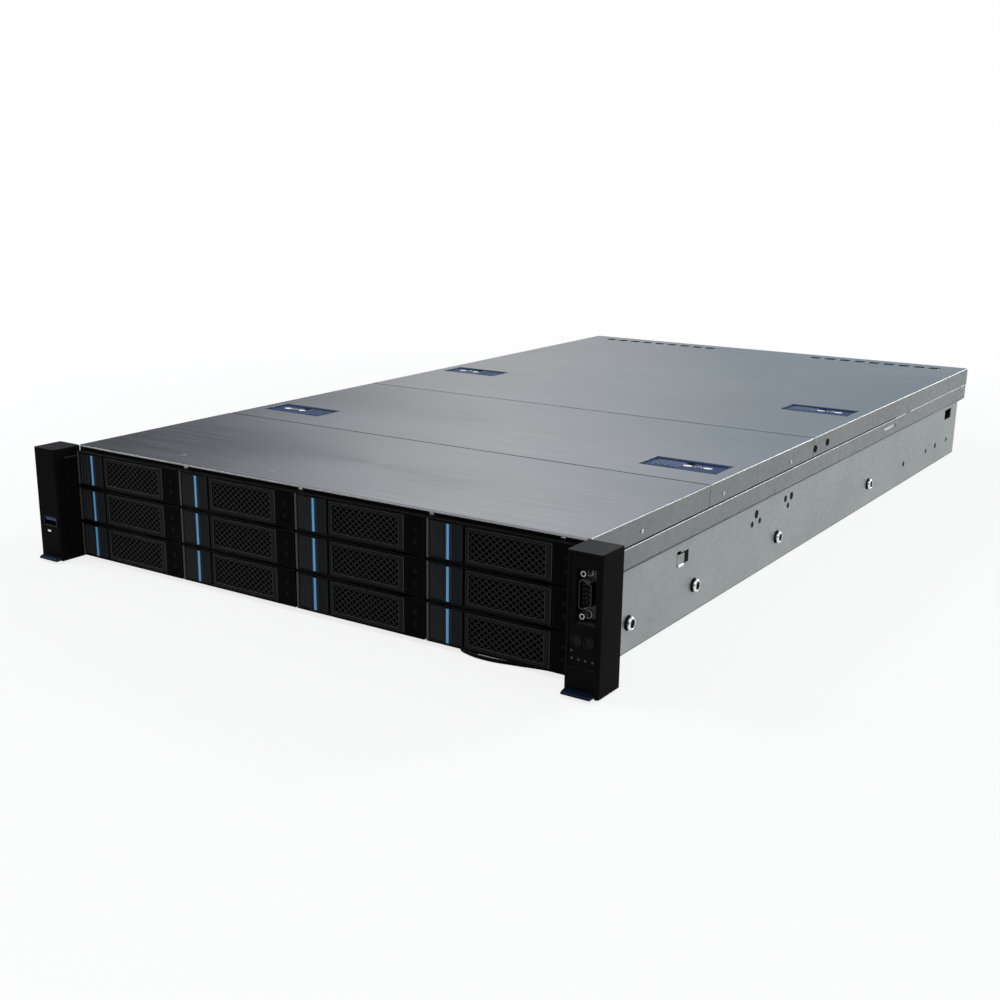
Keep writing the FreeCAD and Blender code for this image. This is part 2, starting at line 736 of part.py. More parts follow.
def fan_wall():
    """Sheet across the chassis with a window for each fan and a fold along its foot."""
    body = sub_part(new_body("fan_wall"))
    sheet = new_sketch(body, "XZ_Plane", "WallSheet", "-(fan_place - 1.2)")
    rectangle(sheet, "-215.8", "1.4", "215.8", "84")
    for number in range(4):
        circle(sheet, f"({number} - 1.5) * fan_pitch", "fan_middle", "fan_bore")
    pad(sheet, "1.2", backwards=True)
    block(body, "WallFoot", ("-215.8", "fan_place - 12", "1.2"), ("215.8", "fan_place", "2"))
    doc.recompute()
    return body


def fan_frames():
    """Four square fan frames, each with a round air way, a motor seat and four struts."""
    frame = pattern_body("FanFramePattern")
    half = "fan_size / 2"
    sketch = new_sketch(frame, "XZ_Plane", "FrameSquare")
    outline(sketch, [(f"-{half} + 3", f"-{half}"), (f"{half} - 3", f"-{half}"),
                     (half, f"-{half} + 3"), (half, f"{half} - 3"),
                     (f"{half} - 3", half), (f"-{half} + 3", half),
                     (f"-{half}", f"{half} - 3"), (f"-{half}", f"-{half} + 3")])
    circle(sketch, "0", "0", "fan_bore")
    pad(sketch, "fan_deep", backwards=True)
    rod(frame, "MotorSeat", ("0", "fan_deep - 3", "0"), "15", "3", "y")
    struts = new_sketch(frame, "XZ_Plane", "FrameStruts", "-(fan_deep - 3)")
    rectangle(struts, "-fan_bore - 0.5", "-1.5", "fan_bore + 0.5", "1.5")
    pad(struts, "3", backwards=True)
    uprights = new_sketch(frame, "XZ_Plane", "FrameUprights", "-(fan_deep - 3)")
    rectangle(uprights, "-1.5", "-fan_bore - 0.5", "1.5", "fan_bore + 0.5")
    pad(uprights, "3", backwards=True)
    copies = []
    for number in range(4):
        copies.append(copy_of(frame, f"FanFrame{number}", f"({number} - 1.5) * fan_pitch",
                              "front_edge + fan_place", "fan_middle"))
    return group("fan_frames", copies)


def fan_impellers():
    """Four impellers with five cambered blades on a drum hub."""
    radius = float(sizes.fan_bore)
    hub_radius = 16
    tip_gap = 1.2
    blade_count = 5
    solid = Part.makeCylinder(hub_radius, 26, V(0, 6, 0), V(0, 1, 0))
    for number in range(blade_count):
        blade = cambered_blade(hub_radius - 2, radius)
        blade.rotate(V(), V(0, 1, 0), 360 / blade_count * number)
        solid = solid.fuse(blade)
    sweep = Part.makeCylinder(radius - tip_gap, 38, V(), V(0, 1, 0))
    solid = solid.common(sweep).removeSplitter()
    for number in range(4):
        label = f"fan_impeller_{number + 1}"
        wheel = doc.addObject("Part::Feature", label)
        wheel.Label = label
        wheel.Shape = solid
        place(wheel, f"({number} - 1.5) * fan_pitch", "front_edge + fan_place",
              "fan_middle")
        sub_part(wheel)


def cambered_blade(inner, outer):
    """One blade: a strip between two arcs, pitched to the axis and run out from the hub."""
    slope = math.radians(36)
    half_chord = 14
    half_thick = 0.9
    camber = 2.6
    along = V(0, math.sin(slope), math.cos(slope))
    across = V(0, math.cos(slope), -math.sin(slope))
    middle = V(inner, 19, 0)
    ends = []
    arcs = []
    for level in (-half_thick, half_thick):
        low = middle - along * half_chord + across * level
        high = middle + along * half_chord + across * level
        arcs.append(Part.Arc(low, middle + across * (level + camber), high).toShape())
        ends.append((low, high))
    caps = [Part.makeLine(ends[0][side], ends[1][side]) for side in (0, 1)]
    strip = Part.Face(Part.Wire(Part.__sortEdges__(arcs + caps)))
    return strip.extrude(V(outer - inner, 0, 0))


# ---------------------------------------------------------------- main board and cooling


def main_board():
    """Main board with its sockets, slots and the ports that stand at the rear wall."""
    board = new_body("MainBoardSheet")
    sketch = new_sketch(board, "XY_Plane", "BoardOutline", "5")
    outline(sketch, [("-212", "236"), ("212", "236"), ("212", "772"), ("-131", "772"),
                     ("-131", "566"), ("-212", "566")])
    pad(sketch, "1.6")
    for side in (-1, 1):
        middle = f"{side} * 100"
        block(board, f"Socket{side + 1}", (f"{middle} - 38", "300", "6.6"),
              (f"{middle} + 38", "400", "9.4"))
    block(board, "SupplyEdge", ("-205", "552", "6.6"), ("-140", "564", "16"))
    for number, across in enumerate((-96, 44, 150)):
        block(board, f"RiserSlot{number}", (str(across - 5), "600", "6.6"),
              (str(across + 5), "700", "17"))
    block(board, "StorageHeader", ("120", "470", "6.6"), ("190", "486", "14"))
    block(board, "Controller", ("-60", "480", "6.6"), ("-20", "520", "12"))
    for number, across in enumerate((-190, -60, 60, 190)):
        for end in (250, 740):
            if across > -131 or end < 566:
                block(board, f"Standoff{number}{end}", (str(across - 3), str(end - 3), "steel"),
                      (str(across + 3), str(end + 3), "5"))
    ports = []
    port_list = (
        ("NetOne", -118, 16, 13.5), ("NetTwo", -100, 16, 13.5), ("UsbPair", -80, 14.4, 15),
        ("Service", -62, 16, 13.5), ("Display", -36, 31, 12.5),
    )
    for name, middle, wide, tall in port_list:
        port = new_body("Rear" + name)
        block(port, name + "Shell", (f"{middle} - {wide / 2}", "760", "6.6"),
              (f"{middle} + {wide / 2}", "lower_depth + 0.6", f"6.6 + {tall}"))
        block(port, name + "Mouth", (f"{middle} - {wide / 2} + 1.2", "lower_depth - 2.5", "8"),
              (f"{middle} + {wide / 2} - 1.2", "lower_depth + 2", f"5.2 + {tall}"), cut=True)
        ports.append(port)
    doc.recompute()
    return group("main_board", [board] + ports)


def heat_sinks():
    """Two finned coolers on the processor sockets."""
    sinks = []
    for side in (-1, 1):
        sink = new_body("HeatSink" + ("Left" if side < 0 else "Right"))
        middle = f"{side} * 100"
        name = sink.Name
        block(sink, name + "Base", (f"{middle} - 38", "298", "9.4"),
              (f"{middle} + 38", "402", "15"))
        fin = block(sink, name + "Fin", (f"{middle} - 38", "298", "15"),
                    (f"{middle} - 37.2", "402", "64"))
        doc.recompute()
        linear_pattern(sink, name + "Fins", [fin], "X_Axis", "3.96", 20)
        sinks.append(sink)
    return group("heat_sinks", sinks)


def memory_modules():
    """Twenty-four upright memory boards in their slots, six each side of a processor."""
    module = pattern_body("ModulePattern")
    block(module, "ModuleSlot", ("-2.6", "-71", "0"), ("2.6", "71", "8"))
    block(module, "ModuleBoard", ("-0.7", "-66.6", "8"), ("0.7", "66.6", "34"))
    for number, end in enumerate((-71, 67.4)):
        block(module, f"SlotLatch{number}", ("-1.6", str(end), "8"), ("1.6", str(end + 3.6), "22"))
    doc.recompute()
    copies = []
    for bank, first in enumerate((-190, -54, 14, 150)):
        for step in range(6):
            copies.append(copy_of(module, f"Module{bank}{step}", str(first + 8 * step),
                                  "front_edge + 350", "6.6"))
    return group("memory_modules", copies)


def air_duct():
    """Moulded shroud that leads the fans' air over the coolers: roof, sides and two splits."""
    body = sub_part(new_body("air_duct"))
    shell = new_sketch(body, "XZ_Plane", "DuctMouth", "-240")
    outline(shell, [("-206", "14"), ("-204", "14"), ("-204", "74"), ("-196", "78"),
                    ("196", "78"), ("204", "74"), ("204", "14"), ("206", "14"),
                    ("206", "75"), ("197", "80"), ("-197", "80"), ("-206", "75")])
    pad(shell, "200", backwards=True)
    for side in (-1, 1):
        for reach in (59, 141):
            middle = side * reach
            block(body, f"DuctSplit{side + 1}{reach}", (str(middle - 0.8), "240", "44"),
                  (str(middle + 0.8), "290", "78.5"))
    slope = new_sketch(body, "YZ_Plane", "DuctSlope")
    outline(slope, [("400", "84"), ("445", "84"), ("445", "60"), ("440", "60")])
    pocket(slope, both_ways=True)
    return body


def riser_cages():
    """Three folded cages that hold the expansion cards flat above the board."""
    cages = []
    for number, (low, high) in enumerate(((-128, -18), (-10, 100), (108, 210)), 1):
        cage = new_body(f"RiserCage{number}")
        sketch = new_sketch(cage, "XZ_Plane", f"CageFold{number}", "-590")
        outline(sketch, [(str(low), "40"), (str(low + 1), "40"), (str(low + 1), "82.4"),
                         (str(high - 1), "82.4"), (str(high - 1), "70"), (str(high), "70"),
                         (str(high), "83.4"), (str(low), "83.4")])
        pad(sketch, "186", backwards=True)
        card_low = str(low + 1)
        block(cage, f"RiserBoard{number}", (card_low, "600", "17"), (f"{card_low} + 1.6", "700", "78"))
        cages.append(cage)
    doc.recompute()
    return group("riser_cages", cages)


# ---------------------------------------------------------------- rear wall and supplies


SLOT_ROWS = (
    (-128, -18, (46, 65)),
    (-10, 100, (27, 46, 65)),
    (108, 210, (46, 65)),
)


def rear_panel():
    """Rear wall with its windows, and the upright wall beside the power supplies."""
    body = sub_part(new_body("rear_panel"))
    sheet = new_sketch(body, "XZ_Plane", "RearSheet", "-(lower_depth - steel)")
    rectangle(sheet, "-216.2", "1.3", "216.2", "84.1")
    rectangle(sheet, "-213", "1.9", "-136", "83.6")
    for left, right, levels in SLOT_ROWS:
        for low in levels:
            rectangle(sheet, str(left + 4), str(low), str(right - 4), str(low + 13))
    rectangle(sheet, "-128", "5.4", "-18", "23")
    rectangle(sheet, "116", "8", "204", "24")
    pad(sheet, "steel", backwards=True)
    vents = new_sketch(body, "XZ_Plane", "RearVents", "-(lower_depth - steel)")
    for level in range(2):
        rectangle(vents, "118", str(29 + 7 * level), "128", str(33 + 7 * level))
    first = pocket(vents)
    linear_pattern(body, "RearVentRow", [first], "X_Axis", "14", 6)
    block(body, "SupplyWall", ("-135.6", "574", "1.3"), ("-134.6", "lower_depth - steel", "84.1"))
    doc.recompute()
    return body


def slot_blanks():
    """Blanking plates behind the expansion windows, and the filler of the network bay."""
    blanks = []
    for left, right, levels in SLOT_ROWS:
        for low in levels:
            blank = new_body(f"Blank{len(blanks)}")
            sheet = new_sketch(blank, "XZ_Plane", f"BlankSheet{len(blanks)}",
                               "-(lower_depth - steel - 1)")
            rectangle(sheet, str(left + 2), str(low - 2), str(right - 2), str(low + 15))
            for step in range(5):
                first = left + 12 + step * 18
                rectangle(sheet, str(first), str(low + 4), str(first + 13), str(low + 9))
            pad(sheet, "1", backwards=True)
            blanks.append(blank)
    filler = new_body("NetworkFiller")
    block(filler, "FillerSheet", ("114", "lower_depth - steel - 1", "6.8"),
          ("206", "lower_depth - steel", "26"))
    doc.recompute()
    return group("slot_blanks", blanks + [filler])


def power_supplies():
    """Two hot-swap supplies, one above the other, each with its handle and latch."""
    case = pattern_body("SupplyPattern")
    wide = "supply_wide / 2"
    tall = "supply_tall / 2"
    block(case, "SupplyCase", (f"-{wide}", "-supply_long", f"-{tall}"), (wide, "0", tall))
    block(case, "InletWell", ("-31", "-13", "-10"), ("-6", "1", "9"), cut=True)
    inlet = (("-19.6", "5"), ("-25", "-3"), ("-14.2", "-3"))
    for number, (across, up) in enumerate(inlet):
        block(case, f"InletPin{number}", (f"{across} - 1", "-13.5", f"{up} - 2"),
              (f"{across} + 1", "-6", f"{up} + 2"))
    doc.recompute()
    grille = new_sketch(case, "XZ_Plane", "SupplyVents")
    for column in range(4):
        for level in range(3):
            left = -1 + 8 * column
            low = -17 + 12 * level
            rectangle(grille, str(left), str(low), str(left + 5), str(low + 8))
    pocket(grille, "2", backwards=True)
    handle = new_sketch(case, "XY_Plane", "HandleTop", "-3")
    outline(handle, [("-2", "-0.5"), ("-2", "17"), ("1", "20"), ("26", "20"), ("29", "17"),
                     ("29", "-0.5"), ("25.5", "-0.5"), ("25.5", "15.6"), ("24.6", "16.5"),
                     ("2.4", "16.5"), ("1.5", "15.6"), ("1.5", "-0.5")])
    pad(handle, "6")
    latch = pattern_body("SupplyLatchPattern")
    grip = new_sketch(latch, "XY_Plane", "LatchGrip", "8")
    outline(grip, [("33.4", "0.1"), ("33.4", "11"), ("31.4", "13"), ("31.4", "14.6"),
                   ("33.6", "14.6"), ("36", "12"), ("36", "0.1")])
    pad(grip, "9")
    for number, level in enumerate(("2.2 + supply_tall / 2", "3.4 + supply_tall * 1.5"), 1):
        sub_part(copy_of(case, f"power_supply_{number}", "supply_across",
                         "front_edge + lower_depth", level))
        sub_part(copy_of(latch, f"supply_latch_{number}", "supply_across",
                         "front_edge + lower_depth", level))


# ---------------------------------------------------------------- build


def faults():
    """What failed to compute, and each sub-part whose shape can't be used."""
    found = []
    for thing in doc.Objects:
        if "Invalid" in thing.State or "Error" in thing.State:
            found.append(f"{thing.Label} did not compute")
    for thing in parts:
        if thing.Shape.isNull() or not thing.Shape.isValid() or not thing.Shape.Solids:
            found.append(f"{thing.Label} has no valid solid")
    return found


def main():
    chassis_pan()
    rail_studs()
    drive_cage()
    backplane()
    front_cover()
    middle_cover()
    rear_cover()
    cover_latches()
    drive_carriers()
    ear("left_ear", -1)
    ear("right_ear", 1)
    pull_tab("left_pull_tab", -1)
    pull_tab("right_pull_tab", 1)
    front_buttons()
    front_ports()
    info_tag()
    fan_wall()
    fan_frames()
    fan_impellers()
    main_board()
    heat_sinks()
    memory_modules()
    air_duct()
    riser_cages()
    rear_panel()
    slot_blanks()
    power_supplies()
    doc.recompute()
    found = faults()
    if found:
        raise RuntimeError("; ".join(found))
    os.makedirs("parts", exist_ok=True)
    for thing in parts:
        thing.Shape.exportStep(f"parts/{thing.Label}.step")
    print(len(parts), "sub-parts written")


main()
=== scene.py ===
import json
import math

import bmesh
import bpy
from mathutils import Matrix, Vector


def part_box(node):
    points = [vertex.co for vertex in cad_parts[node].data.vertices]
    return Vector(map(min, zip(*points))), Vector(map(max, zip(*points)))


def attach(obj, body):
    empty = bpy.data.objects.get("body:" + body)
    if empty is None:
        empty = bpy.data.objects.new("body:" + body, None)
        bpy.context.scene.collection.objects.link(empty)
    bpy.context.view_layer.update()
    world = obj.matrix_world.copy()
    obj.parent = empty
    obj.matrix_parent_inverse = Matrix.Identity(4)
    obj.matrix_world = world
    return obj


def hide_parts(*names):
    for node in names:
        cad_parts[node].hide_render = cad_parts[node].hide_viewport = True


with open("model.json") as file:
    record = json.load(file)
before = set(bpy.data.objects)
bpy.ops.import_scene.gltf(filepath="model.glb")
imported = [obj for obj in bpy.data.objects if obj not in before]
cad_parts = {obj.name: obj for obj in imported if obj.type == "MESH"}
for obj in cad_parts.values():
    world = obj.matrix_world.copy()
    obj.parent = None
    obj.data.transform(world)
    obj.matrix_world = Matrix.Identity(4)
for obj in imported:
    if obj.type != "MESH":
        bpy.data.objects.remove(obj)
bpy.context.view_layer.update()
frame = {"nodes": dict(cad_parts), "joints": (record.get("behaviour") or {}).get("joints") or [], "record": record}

bl_info = {
    "name": "Rack server dressing",
    "version": (1, 0, 0),
    "blender": (4, 5, 0),
    "location": "3D View > Sidebar > Rack server",
    "description": "Dresses the packed frame of a 2U rack server with finished pieces",
    "category": "Object",
}

MM = 0.001
SIDES = ((-1, "left"), (1, "right"))
CARRIERS = [f"{number:02d}" for number in range(1, 13)]
JOINTS = {joint["name"]: joint for joint in frame["joints"]}
BODIES = {node: body for body, members in frame["record"]["behaviour"]["bodies"].items()
          for node in members}
SLOTS = {part["node"]: part["material_slot"] for part in frame["record"]["subparts"]}
FACING = 0.9             # a face looks along an axis when its normal has more than this of it
SLANTED = 0.3            # and it leans towards that axis when its normal has more than this
ON_PLANE = 0.05          # how far from a plane, in millimetres, a corner may be and still be on it
COVER_LOW, COVER_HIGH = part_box("front_cover")
LIP_REACH = 1.6          # the front cover's lip, ahead of the edge that places count from
FRONT_EDGE = COVER_LOW[1] / MM + LIP_REACH
COVER_SIDE = COVER_HIGH[0] / MM
COVER_TOP = COVER_HIGH[2] / MM


# ---------------------------------------------------------------- properties


class ServerSizes(bpy.types.PropertyGroup):
    """Sizes of the details that a user would change."""

    cell_wide: bpy.props.FloatProperty(
        name="Cell width", description="Width of a diamond cell in the carrier levers",
        default=5.0 * MM, unit="LENGTH")
    cell_tall: bpy.props.FloatProperty(
        name="Cell height", description="Height of a diamond cell in the carrier levers",
        default=4.1 * MM, unit="LENGTH")
    cell_wall: bpy.props.FloatProperty(
        name="Cell wall", description="Height of the bars between two cells",
        default=1.0 * MM, unit="LENGTH")
    stripe_width: bpy.props.FloatProperty(
        name="Stripe width", description="Bright middle of the blue button stripe",
        default=1.8 * MM, unit="LENGTH")
    edge_round: bpy.props.FloatProperty(
        name="Edge rounding", description="Rounding of the ears' moulded edges",
        default=0.6 * MM, unit="LENGTH")
    sheet_round: bpy.props.FloatProperty(
        name="Sheet rounding", description="Rounding of cut steel edges",
        default=0.2 * MM, unit="LENGTH")


class ServerColours(bpy.types.PropertyGroup):
    """Colours of the finishes."""

    cover_steel: bpy.props.FloatVectorProperty(
        name="Cover steel", description="Brushed steel of the top covers",
        default=(0.425, 0.433, 0.442), subtype="COLOR", size=3)
    side_steel: bpy.props.FloatVectorProperty(
        name="Side steel", description="Galvanised steel of the chassis",
        default=(0.295, 0.326, 0.322), subtype="COLOR", size=3)
    moulding: bpy.props.FloatVectorProperty(
        name="Moulding", description="Black plastic of the ears",
        default=(0.0034, 0.0034, 0.0037), subtype="COLOR", size=3)
    stripe: bpy.props.FloatVectorProperty(
        name="Stripe", description="Middle of the blue button stripe",
        default=(0.13, 0.33, 0.52), subtype="COLOR", size=3)
    latch: bpy.props.FloatVectorProperty(
        name="Cover latch", description="Blue plastic of the cover latches",
        default=(0.022, 0.045, 0.115), subtype="COLOR", size=3)
    tab: bpy.props.FloatVectorProperty(
        name="Pull tab", description="Blue plastic of the pull tabs",
        default=(0.0025, 0.007, 0.021), subtype="COLOR", size=3)
    floor: bpy.props.FloatVectorProperty(
        name="Floor", description="Pale studio floor",
        default=(0.82, 0.82, 0.82), subtype="COLOR", size=3)


def sizes():
    return bpy.context.scene.server_sizes


def colours():
    return bpy.context.scene.server_colours


# ---------------------------------------------------------------- materials


def add_node(owner, kind, inputs=None, **fields):
    """A node in the owner's tree, with a value or a link for each named socket."""
    tree = owner.node_tree
    node = tree.nodes.new("ShaderNode" + kind)
    for field, value in fields.items():
        setattr(node, field, value)
    for socket, value in (inputs or {}).items():
        if isinstance(value, bpy.types.NodeSocket):
            tree.links.new(value, node.inputs[socket])
        else:
            node.inputs[socket].default_value = value
    return node


def shader_of(material):
    return material.node_tree.nodes["Principled BSDF"]


def wire(material, output, socket):
    material.node_tree.links.new(output, shader_of(material).inputs[socket])


def plain_material(name, colour, roughness, metallic=0.0, specular=0.5):
    """A new node material with its even values set on the shader's own sockets."""
    material = bpy.data.materials.new(name)
    material.use_nodes = True
    shader = shader_of(material)
    shader.inputs["Base Color"].default_value = (*colour, 1.0)
    shader.inputs["Roughness"].default_value = roughness
    shader.inputs["Metallic"].default_value = metallic
    shader.inputs["Specular IOR Level"].default_value = specular
    return material


def texture_place(material, stretch=(1.0, 1.0, 1.0)):
    """Object coordinates, stretched along each axis."""
    where = add_node(material, "TexCoord").outputs["Object"]
    return add_node(material, "Mapping", {"Vector": where, "Scale": stretch}).outputs["Vector"]


def noise(material, vector, scale, detail=4.0):
    values = {"Vector": vector, "Scale": scale, "Detail": detail, "Roughness": 0.55}
    return add_node(material, "TexNoise", values).outputs["Fac"]


def spread(owner, value, low, high, source=(0.3, 0.7)):
    """Maps part of a pattern on to a range."""
    return add_node(owner, "MapRange", {
        "Value": value, "From Min": source[0], "From Max": source[1],
        "To Min": low, "To Max": high}).outputs["Result"]


def blend_colours(owner, factor, first, second):
    values = {"Factor": factor, "A": (*first, 1.0), "B": (*second, 1.0)}
    return add_node(owner, "Mix", values, data_type="RGBA").outputs["Result"]


def join_values(owner, operation, first, second):
    return add_node(owner, "Math", {0: first, 1: second}, operation=operation).outputs["Value"]


def tint(colour, factor):
    return tuple(min(1.0, channel * factor) for channel in colour)


def add_clouds(material, colour, scale, detail, dark, light):
    """A slow change of tone between a darker and a lighter tint of the colour."""
    clouds = noise(material, texture_place(material), scale, detail)
    shade = blend_colours(material, spread(material, clouds, 0.0, 1.0),
                          tint(colour, dark), tint(colour, light))
    wire(material, shade, "Base Color")


def add_bump(material, height, strength, distance):
    values = {"Height": height, "Strength": strength, "Distance": distance}
    wire(material, add_node(material, "Bump", values).outputs["Normal"], "Normal")


def brushed_steel(name, colour, along, roughness=0.34):
    """Rolled sheet with a fine grain along one axis and a slow cloudiness."""
    material = plain_material(name, colour, roughness, metallic=1.0)
    shader_of(material).inputs["Anisotropic"].default_value = 0.35
    fine = [900.0, 900.0, 900.0]
    fine["xyz".index(along)] = 9.0
    streaks = noise(material, texture_place(material, fine), 1.0, 3.0)
    add_clouds(material, colour, 7.0, 5.0, 0.93, 1.06)
    wire(material, spread(material, streaks, roughness - 0.07, roughness + 0.09), "Roughness")
    add_bump(material, streaks, 0.10, 0.00006)
    return material


def galvanised(name, colour):
    """Zinc-coated sheet: small crystals and a faint roll direction."""
    material = plain_material(name, colour, 0.42, metallic=0.9)
    cells = add_node(material, "TexVoronoi", {
        "Vector": texture_place(material, (1.0, 0.6, 1.0)), "Scale": 260.0}).outputs["Distance"]
    streaks = noise(material, texture_place(material, (300.0, 12.0, 500.0)), 1.0, 3.0)
    add_clouds(material, colour, 11.0, 6.0, 0.90, 1.08)
    wire(material, spread(material, cells, 0.36, 0.52, (0.0, 1.0)), "Roughness")
    add_bump(material, streaks, 0.12, 0.00005)
    return material


FINE_PITS, PLAIN_PITS = 2600.0, 1500.0


def moulded_plastic(name, colour, roughness=0.5, pit_scale=FINE_PITS, specular=0.12):
    """Spark-eroded plastic: fine pits, slightly worn tone."""
    material = plain_material(name, colour, roughness, specular=specular)
    pits = noise(material, texture_place(material), pit_scale, 2.0)
    add_clouds(material, colour, 22.0, 4.0, 0.85, 1.2)
    wire(material, spread(material, pits, roughness - 0.06, roughness + 0.08), "Roughness")
    add_bump(material, pits, 0.18, 0.00004)
    return material


def polished_metal(name, colour, roughness):
    """Smooth metal with faint scratches."""
    material = plain_material(name, colour, roughness, metallic=1.0)
    scratches = noise(material, texture_place(material, (1.0, 1.0, 3.0)), 900.0)
    wire(material, spread(material, scratches, roughness - 0.05, roughness + 0.12), "Roughness")
    add_bump(material, scratches, 0.08, 0.00003)
    return material


def circuit_board(name, colour):
    """Solder mask with darker copper runs under it."""
    material = plain_material(name, colour, 0.38)
    runs = add_node(material, "TexBrick", {
        "Vector": texture_place(material), "Scale": 90.0, "Mortar Size": 0.03,
        "Color1": (*tint(colour, 0.8), 1.0), "Color2": (*tint(colour, 1.15), 1.0),
        "Mortar": (*tint(colour, 1.7), 1.0)})
    wire(material, runs.outputs["Color"], "Base Color")
    specks = noise(material, texture_place(material), 500.0, 3.0)
    wire(material, spread(material, specks, 0.3, 0.48), "Roughness")
    add_bump(material, runs.outputs["Fac"], 0.2, 0.00005)
    return material


# Each finish: its maker, its colour or a property's name with a share of it, and the
# maker's other values.
FINISHES = {
    "cover_sheet": (brushed_steel, ("cover_steel", 1.0), "x"),
    "drive_alloy": (brushed_steel, (0.45, 0.46, 0.47), "y", 0.4),
    "fin_alloy": (brushed_steel, (0.66, 0.67, 0.69), "y", 0.3),
    "pan_sheet": (galvanised, ("side_steel", 1.0)),
    "band_sheet": (galvanised, ("side_steel", 0.66)),
    "flange_sheet": (galvanised, ("side_steel", 0.62)),
    # shade_sheet is a dark tint of the side steel, used as painted shade.
    "shade_sheet": (galvanised, ("side_steel", 0.22)),
    "inner_sheet": (galvanised, (0.50, 0.51, 0.50)),
    "supply_sheet": (galvanised, (0.52, 0.53, 0.53)),
    # bright_edge is a bright polished copy of the steel. It paints a highlight on the front roll, the ledges and
    # the lance feet, on top of their real reflections.
    "bright_edge": (polished_metal, (0.80, 0.83, 0.85), 0.3),
    # rolled_edge is a duller copy of the cover steel on the side rolls, which tones down their highlight.
    "rolled_edge": (polished_metal, (0.36, 0.375, 0.385), 0.48),
    "stud_metal": (polished_metal, (0.78, 0.80, 0.81), 0.16),
    "rivet_dull": (polished_metal, (0.50, 0.51, 0.52), 0.42),
    "can_alloy": (polished_metal, (0.60, 0.61, 0.63), 0.35),
    "jack_metal": (polished_metal, (0.42, 0.42, 0.43), 0.25),
    "port_nickel": (polished_metal, (0.16, 0.16, 0.165), 0.3),
    "port_dark": (polished_metal, (0.035, 0.035, 0.038), 0.35),
    "contact_gold": (polished_metal, (0.20, 0.14, 0.05), 0.35),
    "board_mask": (circuit_board, (0.012, 0.06, 0.035)),
    "module_mask": (circuit_board, (0.010, 0.075, 0.045)),
    "seam_shade": (moulded_plastic, (0.05, 0.055, 0.06), 0.8, PLAIN_PITS, 0.0),
    "cage_paint": (moulded_plastic, (0.004, 0.004, 0.004), 0.55, 1800.0),
    "ear_moulding": (moulded_plastic, ("moulding", 1.0), 0.6, FINE_PITS, 0.02),
    # The edge_highlight finishes are lighter, shinier copies of their plastics on rounded edges: painted
    # highlights.
    "ear_edge": (moulded_plastic, (0.009, 0.009, 0.010), 0.4, FINE_PITS, 0.08),
    # ear_top: a lighter plastic on the ears' upward faces, painted light.
    "ear_top": (moulded_plastic, (0.028, 0.029, 0.029), 0.5, FINE_PITS, 0.05),
    "carrier_moulding": (moulded_plastic, (0.0013, 0.0013, 0.0015), 0.55, FINE_PITS, 0.018),
    "carrier_edge": (moulded_plastic, (0.005, 0.005, 0.006), 0.45, FINE_PITS, 0.07),
    # carrier_rim: a lighter strip on the carrier's left rim, a painted glint.
    "carrier_rim": (moulded_plastic, (0.05, 0.042, 0.042), 0.35),
    "button_moulding": (moulded_plastic, (0.0065, 0.0072, 0.0088), 0.45, FINE_PITS, 0.05),
    "button_edge": (moulded_plastic, (0.020, 0.021, 0.023), 0.38),
    "lever_moulding": (moulded_plastic, (0.0035, 0.0035, 0.004), 0.45, FINE_PITS, 0.07),
    "lever_edge": (moulded_plastic, (0.036, 0.036, 0.037), 0.38),
    "lattice_moulding": (moulded_plastic, (0.0105, 0.0105, 0.011), 0.45, FINE_PITS, 0.07),
    "stripe_core": (moulded_plastic, ("stripe", 1.0), 0.3, PLAIN_PITS, 0.3),
    "stripe_side": (moulded_plastic, (0.002, 0.022, 0.062), 0.4, PLAIN_PITS),
    "latch_moulding": (moulded_plastic, ("latch", 1.0), 0.42, PLAIN_PITS),
    "latch_light": (moulded_plastic, (0.068, 0.10, 0.178), 0.42, PLAIN_PITS),
    "tab_moulding": (moulded_plastic, ("tab", 1.0), 0.4, PLAIN_PITS),
    "white_mark": (moulded_plastic, (0.90, 0.92, 0.95), 0.5, PLAIN_PITS),
    # tag_bar: a pale grey bar on the tag's lip, a painted highlight.
    "tag_bar": (moulded_plastic, (0.34, 0.34, 0.34), 0.4, PLAIN_PITS),
    "lens_grey": (moulded_plastic, (0.03, 0.03, 0.03), 0.3, PLAIN_PITS, 0.3),
    "light_pipe": (moulded_plastic, (0.003, 0.0035, 0.0035), 0.4, PLAIN_PITS, 0.05),
    # dark_void: near-black for black parts, and painted shade in holes, gaps, recesses and behind the lattice.
    "dark_void": (moulded_plastic, (0.002, 0.002, 0.002), 0.7, PLAIN_PITS, 0.05),
    "chip_black": (moulded_plastic, (0.012, 0.012, 0.013), 0.4, PLAIN_PITS, 0.3),
    "port_blue": (moulded_plastic, (0.01, 0.06, 0.20), 0.35, PLAIN_PITS),
    "duct_moulding": (moulded_plastic, (0.025, 0.025, 0.026), 0.5),
    "fan_moulding": (moulded_plastic, (0.016, 0.016, 0.017), 0.45),
}
MADE_FINISHES = {}


def finish(name):
    """The named finish, made the first time it is asked for."""
    if name not in MADE_FINISHES:
        maker, colour, *values = FINISHES[name]
        if isinstance(colour[0], str):
            colour = tint(getattr(colours(), colour[0]), colour[1])
        MADE_FINISHES[name] = maker(name, colour, *values)
    return MADE_FINISHES[name]


# ---------------------------------------------------------------- mesh tools


def link(piece):
    bpy.context.scene.collection.objects.link(piece)
    return piece


def add_box(bm, low, high):
    made = bmesh.ops.create_cube(bm, size=1.0)["verts"]
    bmesh.ops.scale(bm, vec=[b - a for a, b in zip(low, high)], verts=made)
    bmesh.ops.translate(bm, vec=[(a + b) / 2 for a, b in zip(low, high)], verts=made)


AXIS_TURN = {
    "x": Matrix.Rotation(math.radians(90), 4, "Y"),
    "y": Matrix.Rotation(math.radians(90), 4, "X"),
    "z": Matrix.Identity(4),
}


